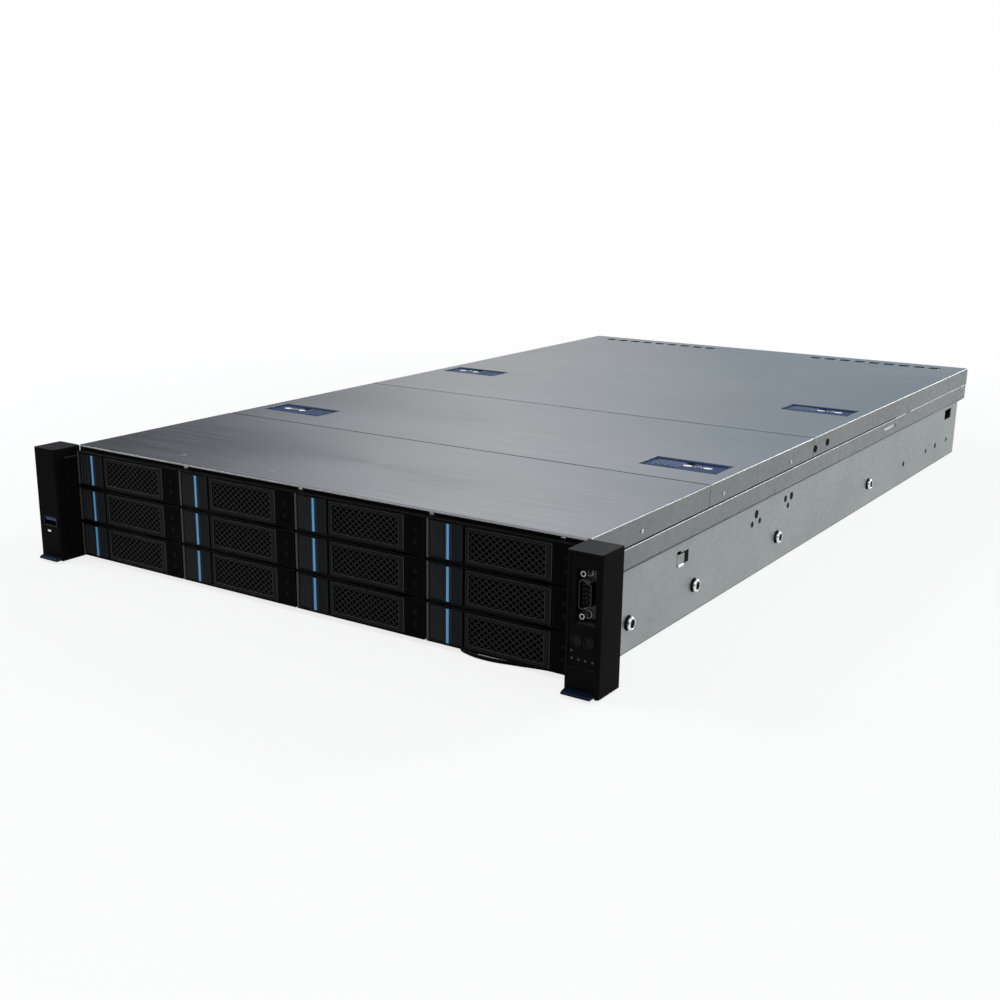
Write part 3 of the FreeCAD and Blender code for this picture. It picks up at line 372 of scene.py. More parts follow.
def add_rod(bm, centre, radius, length, along="z", segments=24, end_radius=None):
    """A round bar about its centre, or a cone. Along y its end radius is the front one."""
    end = radius if end_radius is None else end_radius
    place = Matrix.Translation(centre) @ AXIS_TURN[along]
    bmesh.ops.create_cone(bm, cap_ends=True, segments=segments, radius1=radius,
                          radius2=end, depth=length, matrix=place)


def placed(pair, level, along):
    """A point of an outline at a level along one axis."""
    if along == "x":
        return (level, pair[0], pair[1])
    if along == "y":
        return (pair[0], level, pair[1])
    return (pair[0], pair[1], level)


def add_walls(bm, first, second):
    """Closes the gap between two loops with as many points."""
    for i in range(len(first)):
        bm.faces.new((first[i - 1], first[i], second[i], second[i - 1]))


def add_prism(bm, outline, low, high, along="y"):
    """Runs a closed outline between two levels of one axis."""
    first, second = ([bm.verts.new(placed(pair, level, along)) for pair in outline]
                     for level in (low, high))
    bm.faces.new(first)
    bm.faces.new(list(reversed(second)))
    add_walls(bm, first, second)


def add_ring(bm, outer, inner, low, high, along="y"):
    """Runs the band between two outlines with as many points between two levels."""
    loops = [[bm.verts.new(placed(pair, level, along)) for pair in outline]
             for outline, level in ((outer, low), (inner, low), (inner, high), (outer, high))]
    for side in range(4):
        add_walls(bm, loops[side], loops[(side + 1) % 4])


def add_tube(bm, x, y, outer, inner, low, high, along="y", count=24):
    """A round ring about a point of the plane that it runs through."""
    add_ring(bm, round_outline(x, y, outer, count), round_outline(x, y, inner, count),
             low, high, along)


def box_outline(left, low, right, high, corner=0.0, steps=3):
    """A rectangle, with its corners rounded where a corner radius is given."""
    if corner <= 0:
        return [(left, low), (right, low), (right, high), (left, high)]
    points = []
    middles = ((right - corner, high - corner), (left + corner, high - corner),
               (left + corner, low + corner), (right - corner, low + corner))
    for quarter, (x, y) in enumerate(middles):
        for step in range(steps + 1):
            turn = math.radians(90 * (quarter + step / steps))
            points.append((x + corner * math.cos(turn), y + corner * math.sin(turn)))
    return points


def round_outline(x, y, wide, count=24, tall=None):
    """A circle, or an oval where its half height is given too."""
    turns = [2 * math.pi * i / count for i in range(count)]
    tall = wide if tall is None else tall
    return [(x + wide * math.cos(turn), y + tall * math.sin(turn)) for turn in turns]


def flipped(outline, way):
    return [(way * x, y) for x, y in outline]


def ahead(x, y, z):
    """A place in the part's frame, with y counted back from the covers' front edge."""
    return Vector((x, FRONT_EDGE + y, z))


def middle_of(node):
    low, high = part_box(node)
    return (Vector(low) + Vector(high)) / (2 * MM)


def piece_from(bm, name, place):
    """A new object from a bmesh drawn in millimetres about its own place."""
    bmesh.ops.scale(bm, vec=(MM, MM, MM), verts=bm.verts)
    bmesh.ops.recalc_face_normals(bm, faces=bm.faces)
    mesh = bpy.data.meshes.new(name)
    bm.to_mesh(mesh)
    bm.free()
    piece = link(bpy.data.objects.new(name, mesh))
    piece.location = Vector(place) * MM
    return piece


def soften(piece, width, segments=2, edge_material=-1):
    """Rounds the sharp edges of a piece, in millimetres, and keeps its flats flat."""
    rounding = piece.modifiers.new("Rounding", "BEVEL")
    rounding.width = width * MM
    rounding.segments = segments
    rounding.limit_method = "ANGLE"
    rounding.angle_limit = math.radians(35)
    rounding.material = edge_material
    flats = piece.modifiers.new("Flats", "WEIGHTED_NORMAL")
    flats.weight = 100
    flats.keep_sharp = True
    for face in piece.data.polygons:
        face.use_smooth = True


def hang(piece, body, finishes="", replaces=None):
    """Gives a piece its finishes and the body it rides on."""
    for name in finishes.split():
        piece.data.materials.append(finish(name))
    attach(piece, body)
    if replaces:
        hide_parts(replaces)


def new_piece(name, where, finishes, steps, width=0.0, segments=2, edge_material=-1,
              replaces=None):
    """Draws a piece in millimetres. Where it goes is its place, its body and its slot, and
    each step of its drawing is a mesh tool with that tool's values. The slot is not used."""
    place, body, slot = where
    bm = bmesh.new()
    for tool, *values in steps:
        tool(bm, *values)
    piece = piece_from(bm, name, place)
    if width > 0:
        soften(piece, width, segments, edge_material)
    hang(piece, body, finishes, replaces)
    return piece


MODIFIER_FIELDS = {
    "BEVEL": ("width", "segments", "limit_method", "angle_limit", "material"),
    "WEIGHTED_NORMAL": ("weight", "keep_sharp"),
}


def repeat_piece(source, name, where, replaces=None):
    """Another object with the same mesh and rounding, at its own place."""
    place, body, slot = where
    piece = link(bpy.data.objects.new(name, source.data))
    piece.location = Vector(place) * MM
    for old in source.modifiers:
        new = piece.modifiers.new(old.name, old.type)
        for field in MODIFIER_FIELDS[old.type]:
            setattr(new, field, getattr(old, field))
    hang(piece, body, replaces=replaces)


def node_shells(node):
    """The node's separate solids as bmeshes with clean flat faces."""
    whole = bmesh.new()
    whole.from_mesh(frame["nodes"][node].data)
    bmesh.ops.remove_doubles(whole, verts=whole.verts, dist=1e-6)
    bmesh.ops.dissolve_limit(whole, angle_limit=math.radians(0.8), verts=whole.verts,
                             edges=whole.edges)
    bmesh.ops.connect_verts_concave(whole, faces=whole.faces)
    whole.verts.ensure_lookup_table()
    seen = set()
    shells = []
    for start in whole.verts:
        if start.index in seen:
            continue
        shell = set()
        front = [start]
        while front:
            vert = front.pop()
            if vert.index not in shell:
                shell.add(vert.index)
                front.extend(edge.other_vert(vert) for edge in vert.link_edges)
        seen |= shell
        part = whole.copy()
        part.verts.ensure_lookup_table()
        away = [vert for vert in part.verts if vert.index not in shell]
        bmesh.ops.delete(part, geom=away, context="VERTS")
        part.normal_update()
        shells.append(part)
    whole.free()
    return shells


def skin_from(shell, name, node, finishes, width, segments=2, edge_material=-1):
    """A finished piece in place of one solid of a plain node."""
    mesh = bpy.data.meshes.new(name)
    shell.to_mesh(mesh)
    shell.free()
    piece = link(bpy.data.objects.new(name, mesh))
    soften(piece, width, segments, edge_material)
    hang(piece, BODIES[node], finishes, node)
    return piece


def dress_node(node, finishes, width, segments=2):
    """One finished piece, or one for each solid, in place of a plain node."""
    shells = node_shells(node)
    for number, shell in enumerate(shells, 1):
        name = f"{node}_skin" if len(shells) == 1 else f"{node}_skin_{number:02d}"
        skin_from(shell, name, node, finishes, width, segments)


def bevel_edges(shell, edges, offset, segments, finish_index):
    """Rounds some edges of a solid and gives the round faces a finish of their own."""
    bmesh.ops.bevel(shell, geom=edges, offset=offset * MM, segments=segments, profile=0.5,
                    affect="EDGES", material=finish_index, clamp_overlap=True)


# ---------------------------------------------------------------- stage


class SERVER_OT_stage(bpy.types.Operator):
    """Floor, studio light, white surroundings and the camera"""

    bl_idname = "server.stage"
    bl_label = "Stage"

    def execute(self, context):
        make_floor()
        make_surroundings()
        make_lamps()
        make_camera()
        context.scene.view_settings.view_transform = "Standard"
        return {"FINISHED"}


FLOOR_REACH = 30000
FLOOR_LEVEL = -0.2


def make_floor():
    bm = bmesh.new()
    bmesh.ops.create_grid(bm, x_segments=1, y_segments=1, size=FLOOR_REACH)
    floor = piece_from(bm, "studio_floor", (0.0, 0.0, FLOOR_LEVEL))
    floor.data.materials.append(floor_material())


def seen_rays(owner):
    """One for camera, mirror and glass rays, and nothing for the rays that carry light."""
    path = add_node(owner, "LightPath").outputs
    total = path["Is Camera Ray"]
    for name in ("Is Glossy Ray", "Is Transmission Ray"):
        total = join_values(owner, "MAXIMUM", total, path[name])
    return total


def floor_material():
    """Pale floor that is seen as white, with the machine's shadow kept near it."""
    material = plain_material("studio_floor", colours().floor, 0.8, specular=0.0)
    place = texture_place(material)
    shade = blend_colours(material, noise(material, place, 30.0),
                          tint(colours().floor, 0.985), colours().floor)
    wire(material, shade, "Base Color")
    reach = add_node(material, "VectorMath", {0: place}, operation="LENGTH").outputs["Value"]
    share = spread(material, reach, 0.80, 1.0, (0.55, 1.25))
    share = join_values(material, "MULTIPLY", share, seen_rays(material))
    mix = add_node(material, "MixShader", {
        "Fac": share, 1: shader_of(material).outputs["BSDF"],
        2: add_node(material, "Emission").outputs["Emission"]})
    tree = material.node_tree
    tree.links.new(mix.outputs["Shader"], tree.nodes["Material Output"].inputs["Surface"])
    return material


# The studio's brightness by bearing: degrees to the left of straight behind the machine.
STUDIO_BEARINGS = (
    (-180, (0.50, 0.50, 0.52)), (-90, (0.95, 0.97, 1.00)), (-30, (1.00, 1.00, 1.00)),
    (0, (0.46, 0.54, 0.61)), (16, (0.38, 0.48, 0.56)), (23, (0.47, 0.55, 0.62)),
    (28, (0.76, 0.79, 0.83)), (34, (1.00, 1.00, 1.00)), (40, (0.60, 0.62, 0.65)),
    (45, (0.20, 0.22, 0.25)), (50, (0.03, 0.035, 0.04)), (75, (0.06, 0.07, 0.08)),
    (120, (0.55, 0.56, 0.58)), (180, (0.50, 0.50, 0.52)),
)
STUDIO_RISE = (0.08, 0.19)      # the studio brightens between these heights of direction


def make_surroundings():
    """A studio whose brightness changes with the bearing; the camera sees plain white."""
    world = bpy.data.worlds.new("studio_surroundings")
    world.use_nodes = True
    bpy.context.scene.world = world
    where = add_node(world, "TexCoord").outputs["Generated"]
    x, y, z = add_node(world, "SeparateXYZ", {"Vector": where}).outputs
    bearing = join_values(world, "ARCTAN2", join_values(world, "MULTIPLY", x, -1.0), y)
    turn = join_values(world, "MULTIPLY", bearing, 1 / (2 * math.pi))
    studio = add_node(world, "ValToRGB", {"Fac": join_values(world, "ADD", turn, 0.5)})
    stops = studio.color_ramp.elements
    for degrees, colour in STUDIO_BEARINGS[1:-1]:
        stops.new(degrees / 360 + 0.5).color = (*colour, 1.0)
    stops[0].color = (*STUDIO_BEARINGS[0][1], 1.0)
    stops[len(stops) - 1].color = (*STUDIO_BEARINGS[-1][1], 1.0)
    camera_ray = add_node(world, "LightPath").outputs["Is Camera Ray"]
    plain = join_values(world, "MAXIMUM", camera_ray, join_values(world, "LESS_THAN", z, -0.01))
    mix = add_node(world, "Mix", {"Factor": plain, "A": studio.outputs["Color"],
                                  "B": (1.0, 1.0, 1.0, 1.0)}, data_type="RGBA")
    strength = join_values(world, "MAXIMUM", plain, spread(world, z, 0.0, 1.0, STUDIO_RISE))
    background = world.node_tree.nodes["Background"].inputs
    world.node_tree.links.new(mix.outputs["Result"], background["Color"])
    world.node_tree.links.new(strength, background["Strength"])


# Each softbox: its place, what it is aimed at, its width and height in metres and its power.
LAMPS = {
    "key_softbox": ((0.7, -1.3, 2.0), (0.0, -0.1, 0.0), 1.4, 1.0, 9.0),
    "rear_rim": ((1.1, 2.8, 1.1), (0.2, 0.0, 0.08), 1.2, 0.9, 45.0),
    "left_rim": ((-1.9, -0.9, 1.5), (0.0, -0.38, 0.08), 1.2, 0.7, 22.0),
}


def make_lamps():
    for name, (place, target, width, height, power) in LAMPS.items():
        lamp = bpy.data.lights.new(name, "AREA")
        lamp.shape = "RECTANGLE"
        lamp.size = width
        lamp.size_y = height
        lamp.energy = power
        holder = link(bpy.data.objects.new(name, lamp))
        holder.location = place
        aim = Vector(target) - Vector(place)
        holder.rotation_euler = aim.to_track_quat("-Z", "Y").to_euler()


CAMERA_PLACE = (0.57207, -1.02423, 0.29472)
CAMERA_TURN = (34.67, 90 - 16.10, 0.34)      # heading, tilt from straight down, and roll


def make_camera():
    """The camera stands ahead and to the right, above the machine."""
    lens = bpy.data.cameras.new("view_camera")
    lens.sensor_width = 36.0
    lens.lens = 47.72
    lens.shift_x = 0.0381
    lens.shift_y = 0.0410
    lens.clip_end = 50.0
    camera = link(bpy.data.objects.new("view_camera", lens))
    heading, tilt, roll = (math.radians(turn) for turn in CAMERA_TURN)
    camera.matrix_world = (Matrix.Translation(CAMERA_PLACE) @ Matrix.Rotation(heading, 4, "Z")
                           @ Matrix.Rotation(tilt, 4, "X") @ Matrix.Rotation(roll, 4, "Z"))
    bpy.context.scene.camera = camera


# ---------------------------------------------------------------- chassis and covers


# Where most drawings count from: the covers' front edge, in the middle and on the floor.
ORIGIN = ahead(0, 0, 0)
STUD_PLACES = (53.5, 147.0, 292.6, 503.8)
STUD_HEIGHT = 20
# The stud's turned head: each row is a radius and how far it stands out from the wall.
STUD_ROWS = ((4.4, 1.9), (4.4, 2.1), (4.3, 2.6), (4.1, 3.0), (3.8, 3.3), (3.5, 3.45),
             (3.2, 3.5), (2.9, 3.3), (2.7, 1.6))
SIDE_WALL = 217.5
SIDE_BAND = 219.6
# Each nut seat: how far back it is, its height and the radius of its ring.
NUT_SEATS = ((243, 40.6, 2.2), (250, 47, 3.2), (257, 40.6, 2.2), (306, 47, 2.6),
             (312, 40.6, 2.2), (318, 47, 3.0), (607, 19, 2.4), (679, 19, 2.2),
             (711, 19, 2.6), (750, 19, 2.2))


class SERVER_OT_chassis(bpy.types.Operator):
    """Steel tray with its ledges, lances, screws and rail studs, and the drive cage"""

    bl_idname = "server.chassis"
    bl_label = "Chassis"

    def execute(self, context):
        make_pan()
        dress_node("drive_cage", "cage_paint", sizes().sheet_round / MM)
        for side, name in SIDES:
            make_side_details(side, name)
            for number, along in enumerate(STUD_PLACES, 1):
                make_stud(f"{name}_stud_{number}", side, along)
        return {"FINISHED"}


def make_pan():
    """The tray's skin: galvanised walls, a darker band, painted shade on the step and bends."""
    shell = node_shells("chassis_pan")[0]
    for face in shell.faces:
        middle = face.calc_center_median() / MM
        across, up = abs(face.normal.x), face.normal.z
        if abs(middle.x) > SIDE_BAND - ON_PLANE and across > FACING:
            face.material_index = 1
        # Faces of the step that look down take the shade sheet: painted shade.
        if across > SLANTED and up < -SLANTED and abs(middle.x) > SIDE_WALL:
            face.material_index = 2
    # The bottom bends are truly rounded, and the rounding takes the shade sheet: painted shade.
    bends = [edge for edge in shell.edges
             if all(abs(vert.co.x) > (SIDE_WALL - ON_PLANE) * MM and vert.co.z < ON_PLANE * MM
                    for vert in edge.verts)]
    bevel_edges(shell, bends, 1.6, 4, 2)
    skin_from(shell, "chassis_pan_skin", "chassis_pan", "pan_sheet band_sheet shade_sheet",
              sizes().sheet_round / MM)


def add_stud_head(bm, side):
    loops = [[bm.verts.new((side * level, y, z)) for y, z in round_outline(0, 0, radius, 32)]
             for radius, level in STUD_ROWS]
    for first, second in zip(loops, loops[1:]):
        add_walls(bm, first, second)
    bm.faces.new(loops[-1])
    bm.faces.new(loops[0])


def make_stud(name, side, along):
    """Shouldered stud with a polished head, with painted shade in its driver recess and round its foot."""
    where = (ahead(side * SIDE_WALL, along, STUD_HEIGHT), "chassis", "stud_metal")
    new_piece(name, where, "stud_metal",
              [(add_rod, (side * 1.0, 0, 0), 2.9, 2.2, "x"), (add_stud_head, side)], 0.15,
              replaces="rail_studs")
    # A dark ring round the stud's foot and a dark disc in its recess: painted shade.
    new_piece(name + "_recess", where, "dark_void",
              [(add_tube, 0, 0, 5.0, 2.9, 0.0, side * 0.25, "x", 32),
               (add_rod, (side * 3.1, 0, 0), 2.95, 0.4, "x")])


def make_side_details(side, name):
    """Side wall's ledge, half-sheared lance, nut seats, painted glints, shadows and slot light."""
    ledge = flipped(box_outline(-0.6, -0.7, 0.0, 0.0, 0.28, 2), side)
    lance = [(0, 0), (0, 9), (side * 1.0, 9), (side * 0.2, 0)]
    seats = []
    for along, up, radius in NUT_SEATS:
        seats += [(add_tube, along, up, radius, 1.5, 0.0, side * 0.12, "x"),
                  (add_rod, (side * -1.0, along, up), 1.9, 0.4, "x", 20)]
    details = (
        # The ledge's rounding is real; its bright polished finish adds a painted highlight.
        ("ledge", (SIDE_BAND + 0.3, 0, 70.3), "bright_edge", 0.0,
         [(add_prism, ledge, 2, 592), (add_prism, ledge, 607, 796.5)]),
        ("lance", (SIDE_WALL, 119, 44.5), "pan_sheet", 0.2,
         [(add_prism, lance, -4.0, 2.8, "z")]),
        # A dark sheet behind the lance's open edge: painted shadow.
        ("lance_gap", (SIDE_WALL, 128.2, 44.5), "dark_void", 0.0,
         [(add_box, (0, -2.5, -4.8), (side * 0.08, 8.0, 3.4))]),
        # A bright polished block at the lance's foot: a painted glint.
        ("lance_foot", (SIDE_WALL, 120.4, 39.4), "bright_edge", 0.3,
         [(add_box, (0, 0, -1.0), (side * 0.9, 7.6, 1.0))]),
        # Dark discs behind the holes are painted shade in them; the dark rings round the holes are drawn as nut
        # seats.
        ("nut_seats", (SIDE_WALL, 0, 0), "dark_void", 0.0, seats),
        # A dark strip under the cover's flange: painted shadow.
        ("flange_gap", (COVER_SIDE, 0, 0), "dark_void", 0.0,
         [(add_box, (0, 2, 70.65), (side * 0.06, 560, 71.5))]),
        # A dark strip along the step: a painted shadow line.
        ("step_line", (SIDE_BAND - 0.2, 0, 0), "shade_sheet", 0.1,
         [(add_box, (0, 2, 56.0), (side * 0.3, 796, 57.3))]),
        # A white sheet inside the slot: painted light that stands for the light seen through it.
        ("slot_liner", (SIDE_BAND - 1.6, 0, 0), "white_mark", 0.0,
         [(add_box, (0, 529, 62.2), (side * 0.4, 565, 65.8))]),
    )
    for detail, (across, along, up), finishes, width, steps in details:
        where = (ahead(side * across, along, up), "chassis", "galvanised")
        new_piece(f"{name}_{detail}", where, finishes, steps, width)


class SERVER_OT_covers(bpy.types.Operator):
    """Three brushed top covers with their rolled edges, rivets and vents"""

    bl_idname = "server.covers"
    bl_label = "Covers"

    def execute(self, context):
        for node in ("front_cover", "middle_cover", "rear_cover"):
            make_cover(node)
        make_front_rivets()
        for side, name in SIDES:
            make_flange_rivets(side, name)
        make_vent_screens()
        return {"FINISHED"}


COVER_SINK = 0.2         # how far the covers' skins are let down under the highest rivets
SIDE_ROLL = 0.8
FRONT_ROLL = 1.5
SEAM_CUT = 0.7
FLANGE_REACH = 0.1       # how far into the rolled corner the flange's finish goes
SEAM_DEPTH = 2.5         # how far down the ends of the covers are shaded
SEAM_START = 10          # the seams' ends all lie further back than this
COVER_SHEET_ROUND = 0.18


def make_cover(node):
    """The cover's skin, let down a little so that rivets stay under the highest point."""
    shell = node_shells(node)[0]
    start = min(vert.co.y for vert in shell.verts) / MM
    stop = max(vert.co.y for vert in shell.verts) / MM

    def is_lip(first, second):
        return max(first.y, second.y) < FRONT_EDGE - LIP_REACH + ON_PLANE

    def is_side(first, second):
        outer = min(abs(first.x), abs(second.x)) > COVER_SIDE - ON_PLANE
        return outer and first.x * second.x > 0

    def is_seam(first, second):
        front = node != "front_cover" and max(first.y, second.y) < start + ON_PLANE
        return front or (node != "rear_cover" and min(first.y, second.y) > stop - ON_PLANE)

    # The front roll takes the bright copy of the steel, a painted highlight; the side rolls take a duller copy
    # that tones down theirs.
    for fits, offset, segments, finish_index in ((is_lip, FRONT_ROLL, 4, 4),
                                                 (is_side, SIDE_ROLL, 4, 1),
                                                 (is_seam, SEAM_CUT, 2, 3)):
        ends = [(edge, [vert.co / MM for vert in edge.verts]) for edge in shell.edges]
        chosen = [edge for edge, (first, second) in ends
                  if min(first.z, second.z) > COVER_TOP - ON_PLANE and fits(first, second)]
        bevel_edges(shell, chosen, offset, segments, finish_index)
    bmesh.ops.translate(shell, vec=(0, 0, -COVER_SINK * MM), verts=shell.verts)
    shell.normal_update()
    for face in shell.faces:
        middle = face.calc_center_median() / MM
        if abs(face.normal.x) > FACING and abs(middle.x) > COVER_SIDE - FLANGE_REACH:
            face.material_index = 2
        high = middle.z > COVER_TOP - SEAM_DEPTH
        if high and abs(face.normal.y) > FACING and middle.y > FRONT_EDGE + SEAM_START:
            face.material_index = 3
    skin_from(shell, node + "_skin", node,
              "cover_sheet rolled_edge flange_sheet seam_shade bright_edge", COVER_SHEET_ROUND)


def make_front_rivets():
    """Flush rivets behind the front edge, and the hooks under it."""
    for number, across in enumerate((-130.0, -44.0, 43.0, 152.0), 1):
        where = (ahead(across, 19.5, COVER_TOP - 0.12), "chassis", "cover_steel")
        new_piece(f"cover_rivet_{number}", where, "rivet_dull",
                  [(add_rod, (0, 0, -0.2), 2.3, 0.3, "z", 28),
                   (add_rod, (0, 0, 0.02), 2.3, 0.14, "z", 28, 1.4)])
    # The last hook has no lower part, because a drive slides out close under it.
    for number, (across, drop) in enumerate(((-106, 1.5), (1, 1.5), (108, 1.5), (202, 0.0)), 1):
        new_piece(f"cover_hook_{number}", (ahead(across, -1.2, 84.2), "chassis", "cover_steel"),
                  "rivet_dull", [(add_box, (-1.6, -0.6, -drop), (1.6, 1.2, 1.1))], 0.3)


def make_flange_rivets(side, name):
    """Rivets and screws in the covers' side flanges."""
    rows = (("chassis", 62.0, 77.0), ("middle_cover", 182.0, 76.6), ("middle_cover", 304.5, 76.0))
    for number, (body, along, up) in enumerate(rows, 1):
        where = (ahead(side * COVER_SIDE, along, up), body, "cover_steel")
        new_piece(f"{name}_flange_rivet_{number}", where, "rivet_dull",
                  [(add_rod, (side * 0.2, 0, 0), 1.5, 0.5, "x"),
                   (add_rod, (side * 0.55, 0, 0), 1.5, 0.3, "x", 24, 1.0)], 0.2)
    for number, (along, up) in enumerate(((355.6, 77.6), (382.4, 78.4)), 1):
        where = (ahead(side * COVER_SIDE, along, up), "rear_cover", "cover_steel")
        new_piece(f"{name}_flange_screw_{number}", where, "dark_void",
                  [(add_tube, 0, 0, 2.9, 2.0, 0.0, side * 0.5, "x"),
                   (add_rod, (side * 0.1, 0, 0), 2.0, 0.2, "x")], 0.1)


VENT_STEP, VENT_STEPS = 16, 8


def make_vent_screens():
    """Plain steel screens under the two rows of vents at the rear edge."""
    far = VENT_STEP * VENT_STEPS + 7.5
    for name, first in (("left", -196.0), ("right", 58.0)):
        where = (ahead(first, 776, COVER_TOP - 1.3), "rear_cover", "cover_steel")
        new_piece(f"{name}_vent_screen", where, "flange_sheet",
                  [(add_box, (-7.5, -6.0, -0.4), (far, 6.0, 0.0))])


class SERVER_OT_cover_latches(bpy.types.Operator):
    """Four blue latch plates with grip ribs, a lock screw and plain marks"""

    bl_idname = "server.cover_latches"
    bl_label = "Cover latches"

    def execute(self, context):
        for number in range(1, 5):
            make_cover_latch(number)
        return {"FINISHED"}


LATCH_WIDE = 59.6
LATCH_DEEP = 29.6
LATCH_PIN_BACK = 12.9
LATCH_LEVEL = 85.0
LATCH_RIBS = [5.2 + 4.6 * rib for rib in range(4)]


def make_cover_latch(number):
    """One latch. Its grip is on the side towards the middle of the machine."""
    node = f"cover_latch_{number}"
    centre = middle_of(node)
    pin = JOINTS[node + "_hinge"]["pos_m"][1] / MM
    where = (Vector((centre.x, pin - LATCH_PIN_BACK, LATCH_LEVEL)), node, "latch_blue")
    inward = -1 if centre.x > 0 else 1
    x, y = LATCH_WIDE / 2, LATCH_DEEP / 2
    new_piece(node + "_plate", where, "latch_moulding", [
        (add_prism, [(-y, 0.5), (-y + 3, -1.9), (y - 2, -1.9), (y - 2, 1.0), (-y, 1.0)],
         -x, x, "x"),
        (add_ring, box_outline(-x, -y, x, y - 2, 1.2),
         box_outline(1.4 - x, 1.4 - y, x - 1.4, y - 3.4, 0.8), 0.9, 1.85, "z"),
        (add_rod, (0, LATCH_PIN_BACK, 0), 1.85, LATCH_WIDE, "x", 20)], 0.25, replaces=node)
    ribs = [(add_prism, flipped([(left, -7.2), (left + 2.0, -7.2), (left + 5.0, 7.2),
                                 (left + 3.0, 7.2)], inward), 1.3, 1.8, "z")
            for left in LATCH_RIBS]
    pad = flipped(box_outline(3, -9, 25, 9, 2.0), inward)
    new_piece(node + "_grip", where, "latch_light", [(add_prism, pad, 0.9, 1.35, "z")] + ribs,
              0.2)
    ovals = [flipped(round_outline(across, 1.0, 3.6, 24, 2.2), -inward)
             for across in (1.0, 16.5)]
    new_piece(node + "_marks", where, "white_mark",
              [(add_prism, oval, 1.0, 1.3, "z") for oval in ovals], 0.1)
    new_piece(node + "_holes", where, "dark_void",
              [(add_rod, (-inward * 9.2, 0.6, 1.1), 2.5, 0.3),
               (add_rod, (-inward * 0.8, 7.6, 1.1), 2.8, 0.3)])
    new_piece(node + "_screw_ring", where, "stud_metal",
              [(add_tube, -inward * 9.2, 0.6, 2.9, 2.3, 1.0, 1.5, "z")], 0.1)


# ---------------------------------------------------------------- drives


class SERVER_OT_carriers(bpy.types.Operator):
    """Twelve drive carriers with ribbed buttons and blue stripes"""

    bl_idname = "server.carriers"
    bl_label = "Drive carriers"

    def execute(self, context):
        for tag in CARRIERS:
            make_carrier(tag)
        return {"FINISHED"}


def carrier_place(tag):
    """The middle of the carrier's face, in line with the covers' front edge."""
    middle = middle_of(f"drive_carrier_{tag}")
    return Vector((middle.x, 0, middle.z)) + ORIGIN


BUTTON_TALL = 11.3       # half of the release button's height
STRIPE_MIDDLE = -36.6
TRAY_LONGER_THAN = 160
BUTTON_SHORTER_THAN = 100
# The skins of a carrier's three solids: finishes, rounding, segments and edge highlight finish.
CARRIER_LOOKS = {
    "carrier_tray": ("carrier_moulding carrier_edge", 0.3, 2, 1),
    "disk_drive": ("drive_alloy dark_void", 0.4, 2, -1),
    "release_button": ("button_moulding button_edge", 0.2, 2, 1),
}
CARRIER_SKINS = {}


def carrier_kind(shell):
    """Which of a carrier's solids this is, by its depth."""
    depths = [vert.co.y / MM for vert in shell.verts]
    depth = max(depths) - min(depths)
    if depth > TRAY_LONGER_THAN:
        return "carrier_tray"
    return "disk_drive" if depth > BUTTON_SHORTER_THAN else "release_button"


def carrier_skins(tag, node):
    """The tray, button and drive of one carrier. All carriers share their meshes."""
    place = carrier_place(tag)
    if CARRIER_SKINS:
        for kind, (source, first) in CARRIER_SKINS.items():
            repeat_piece(source, f"{kind}_{tag}", (place - first, node, SLOTS[node]), node)
        return
    for shell in node_shells(node):
        kind = carrier_kind(shell)
        if kind == "disk_drive":
            # The drive's front face behind the lever's lattice is near black: painted shade.
            for face in shell.faces:
                face.material_index = 1 if face.normal.y < -FACING else 0
        skin = skin_from(shell, f"{kind}_{tag}", node, *CARRIER_LOOKS[kind])
        CARRIER_SKINS[kind] = (skin, place)


def make_carrier(tag):
    """Skins for the tray, the button and the drive, and the pieces that ride on them."""
    node = f"drive_carrier_{tag}"
    carrier_skins(tag, node)
    where = (carrier_place(tag), node, "carrier_black")
    half = sizes().stripe_width / MM / 2
    left, right = STRIPE_MIDDLE - half, STRIPE_MIDDLE + half
    new_piece(f"stripe_bed_{tag}", where, "stripe_side",
              [(add_box, (left - 1.4, -8.15, -BUTTON_TALL), (right + 1.0, -7.2, BUTTON_TALL))],
              0.15)
    new_piece(f"stripe_{tag}", where, "stripe_core",
              [(add_box, (left, -8.5, 0.1 - BUTTON_TALL), (right, -7.8, BUTTON_TALL - 0.1))],
              0.2)
    # A lighter strip on the carrier's left rim: a painted glint.
    new_piece(f"carrier_rim_{tag}", where, "carrier_rim",
              [(add_box, (-52.9, -8.1, -12.4), (-51.3, -7.6, 12.4))], 0.1)
    new_piece(f"carrier_lights_{tag}", where, "light_pipe",
              [(add_rod, (46, -7.3, up), 0.85, 1.0, "y", 20) for up in (-4.0, 4.0)], 0.1)


class SERVER_OT_levers(bpy.types.Operator):
    """Twelve levers with a fine diamond lattice"""

    bl_idname = "server.levers"
    bl_label = "Carrier levers"

    def execute(self, context):
        first = {}
        for tag in CARRIERS:
            node = f"carrier_lever_{tag}"
            where = (carrier_place(tag), node, "lever_black")
            if not first:
                first = make_lever(tag, where, node)
                continue
            for kind, source in first.items():
                replaces = node if kind == "lever_frame" else None
                repeat_piece(source, f"{kind}_{tag}", where, replaces)
        return {"FINISHED"}


LEVER = (-23.9, -11.2, 37.0, 11.2)
LEVER_WINDOW = (-21.4, -9.2, 32.5, 9.2)
LEVER_FRONT = -8.0
LEVER_BACK = -3.9


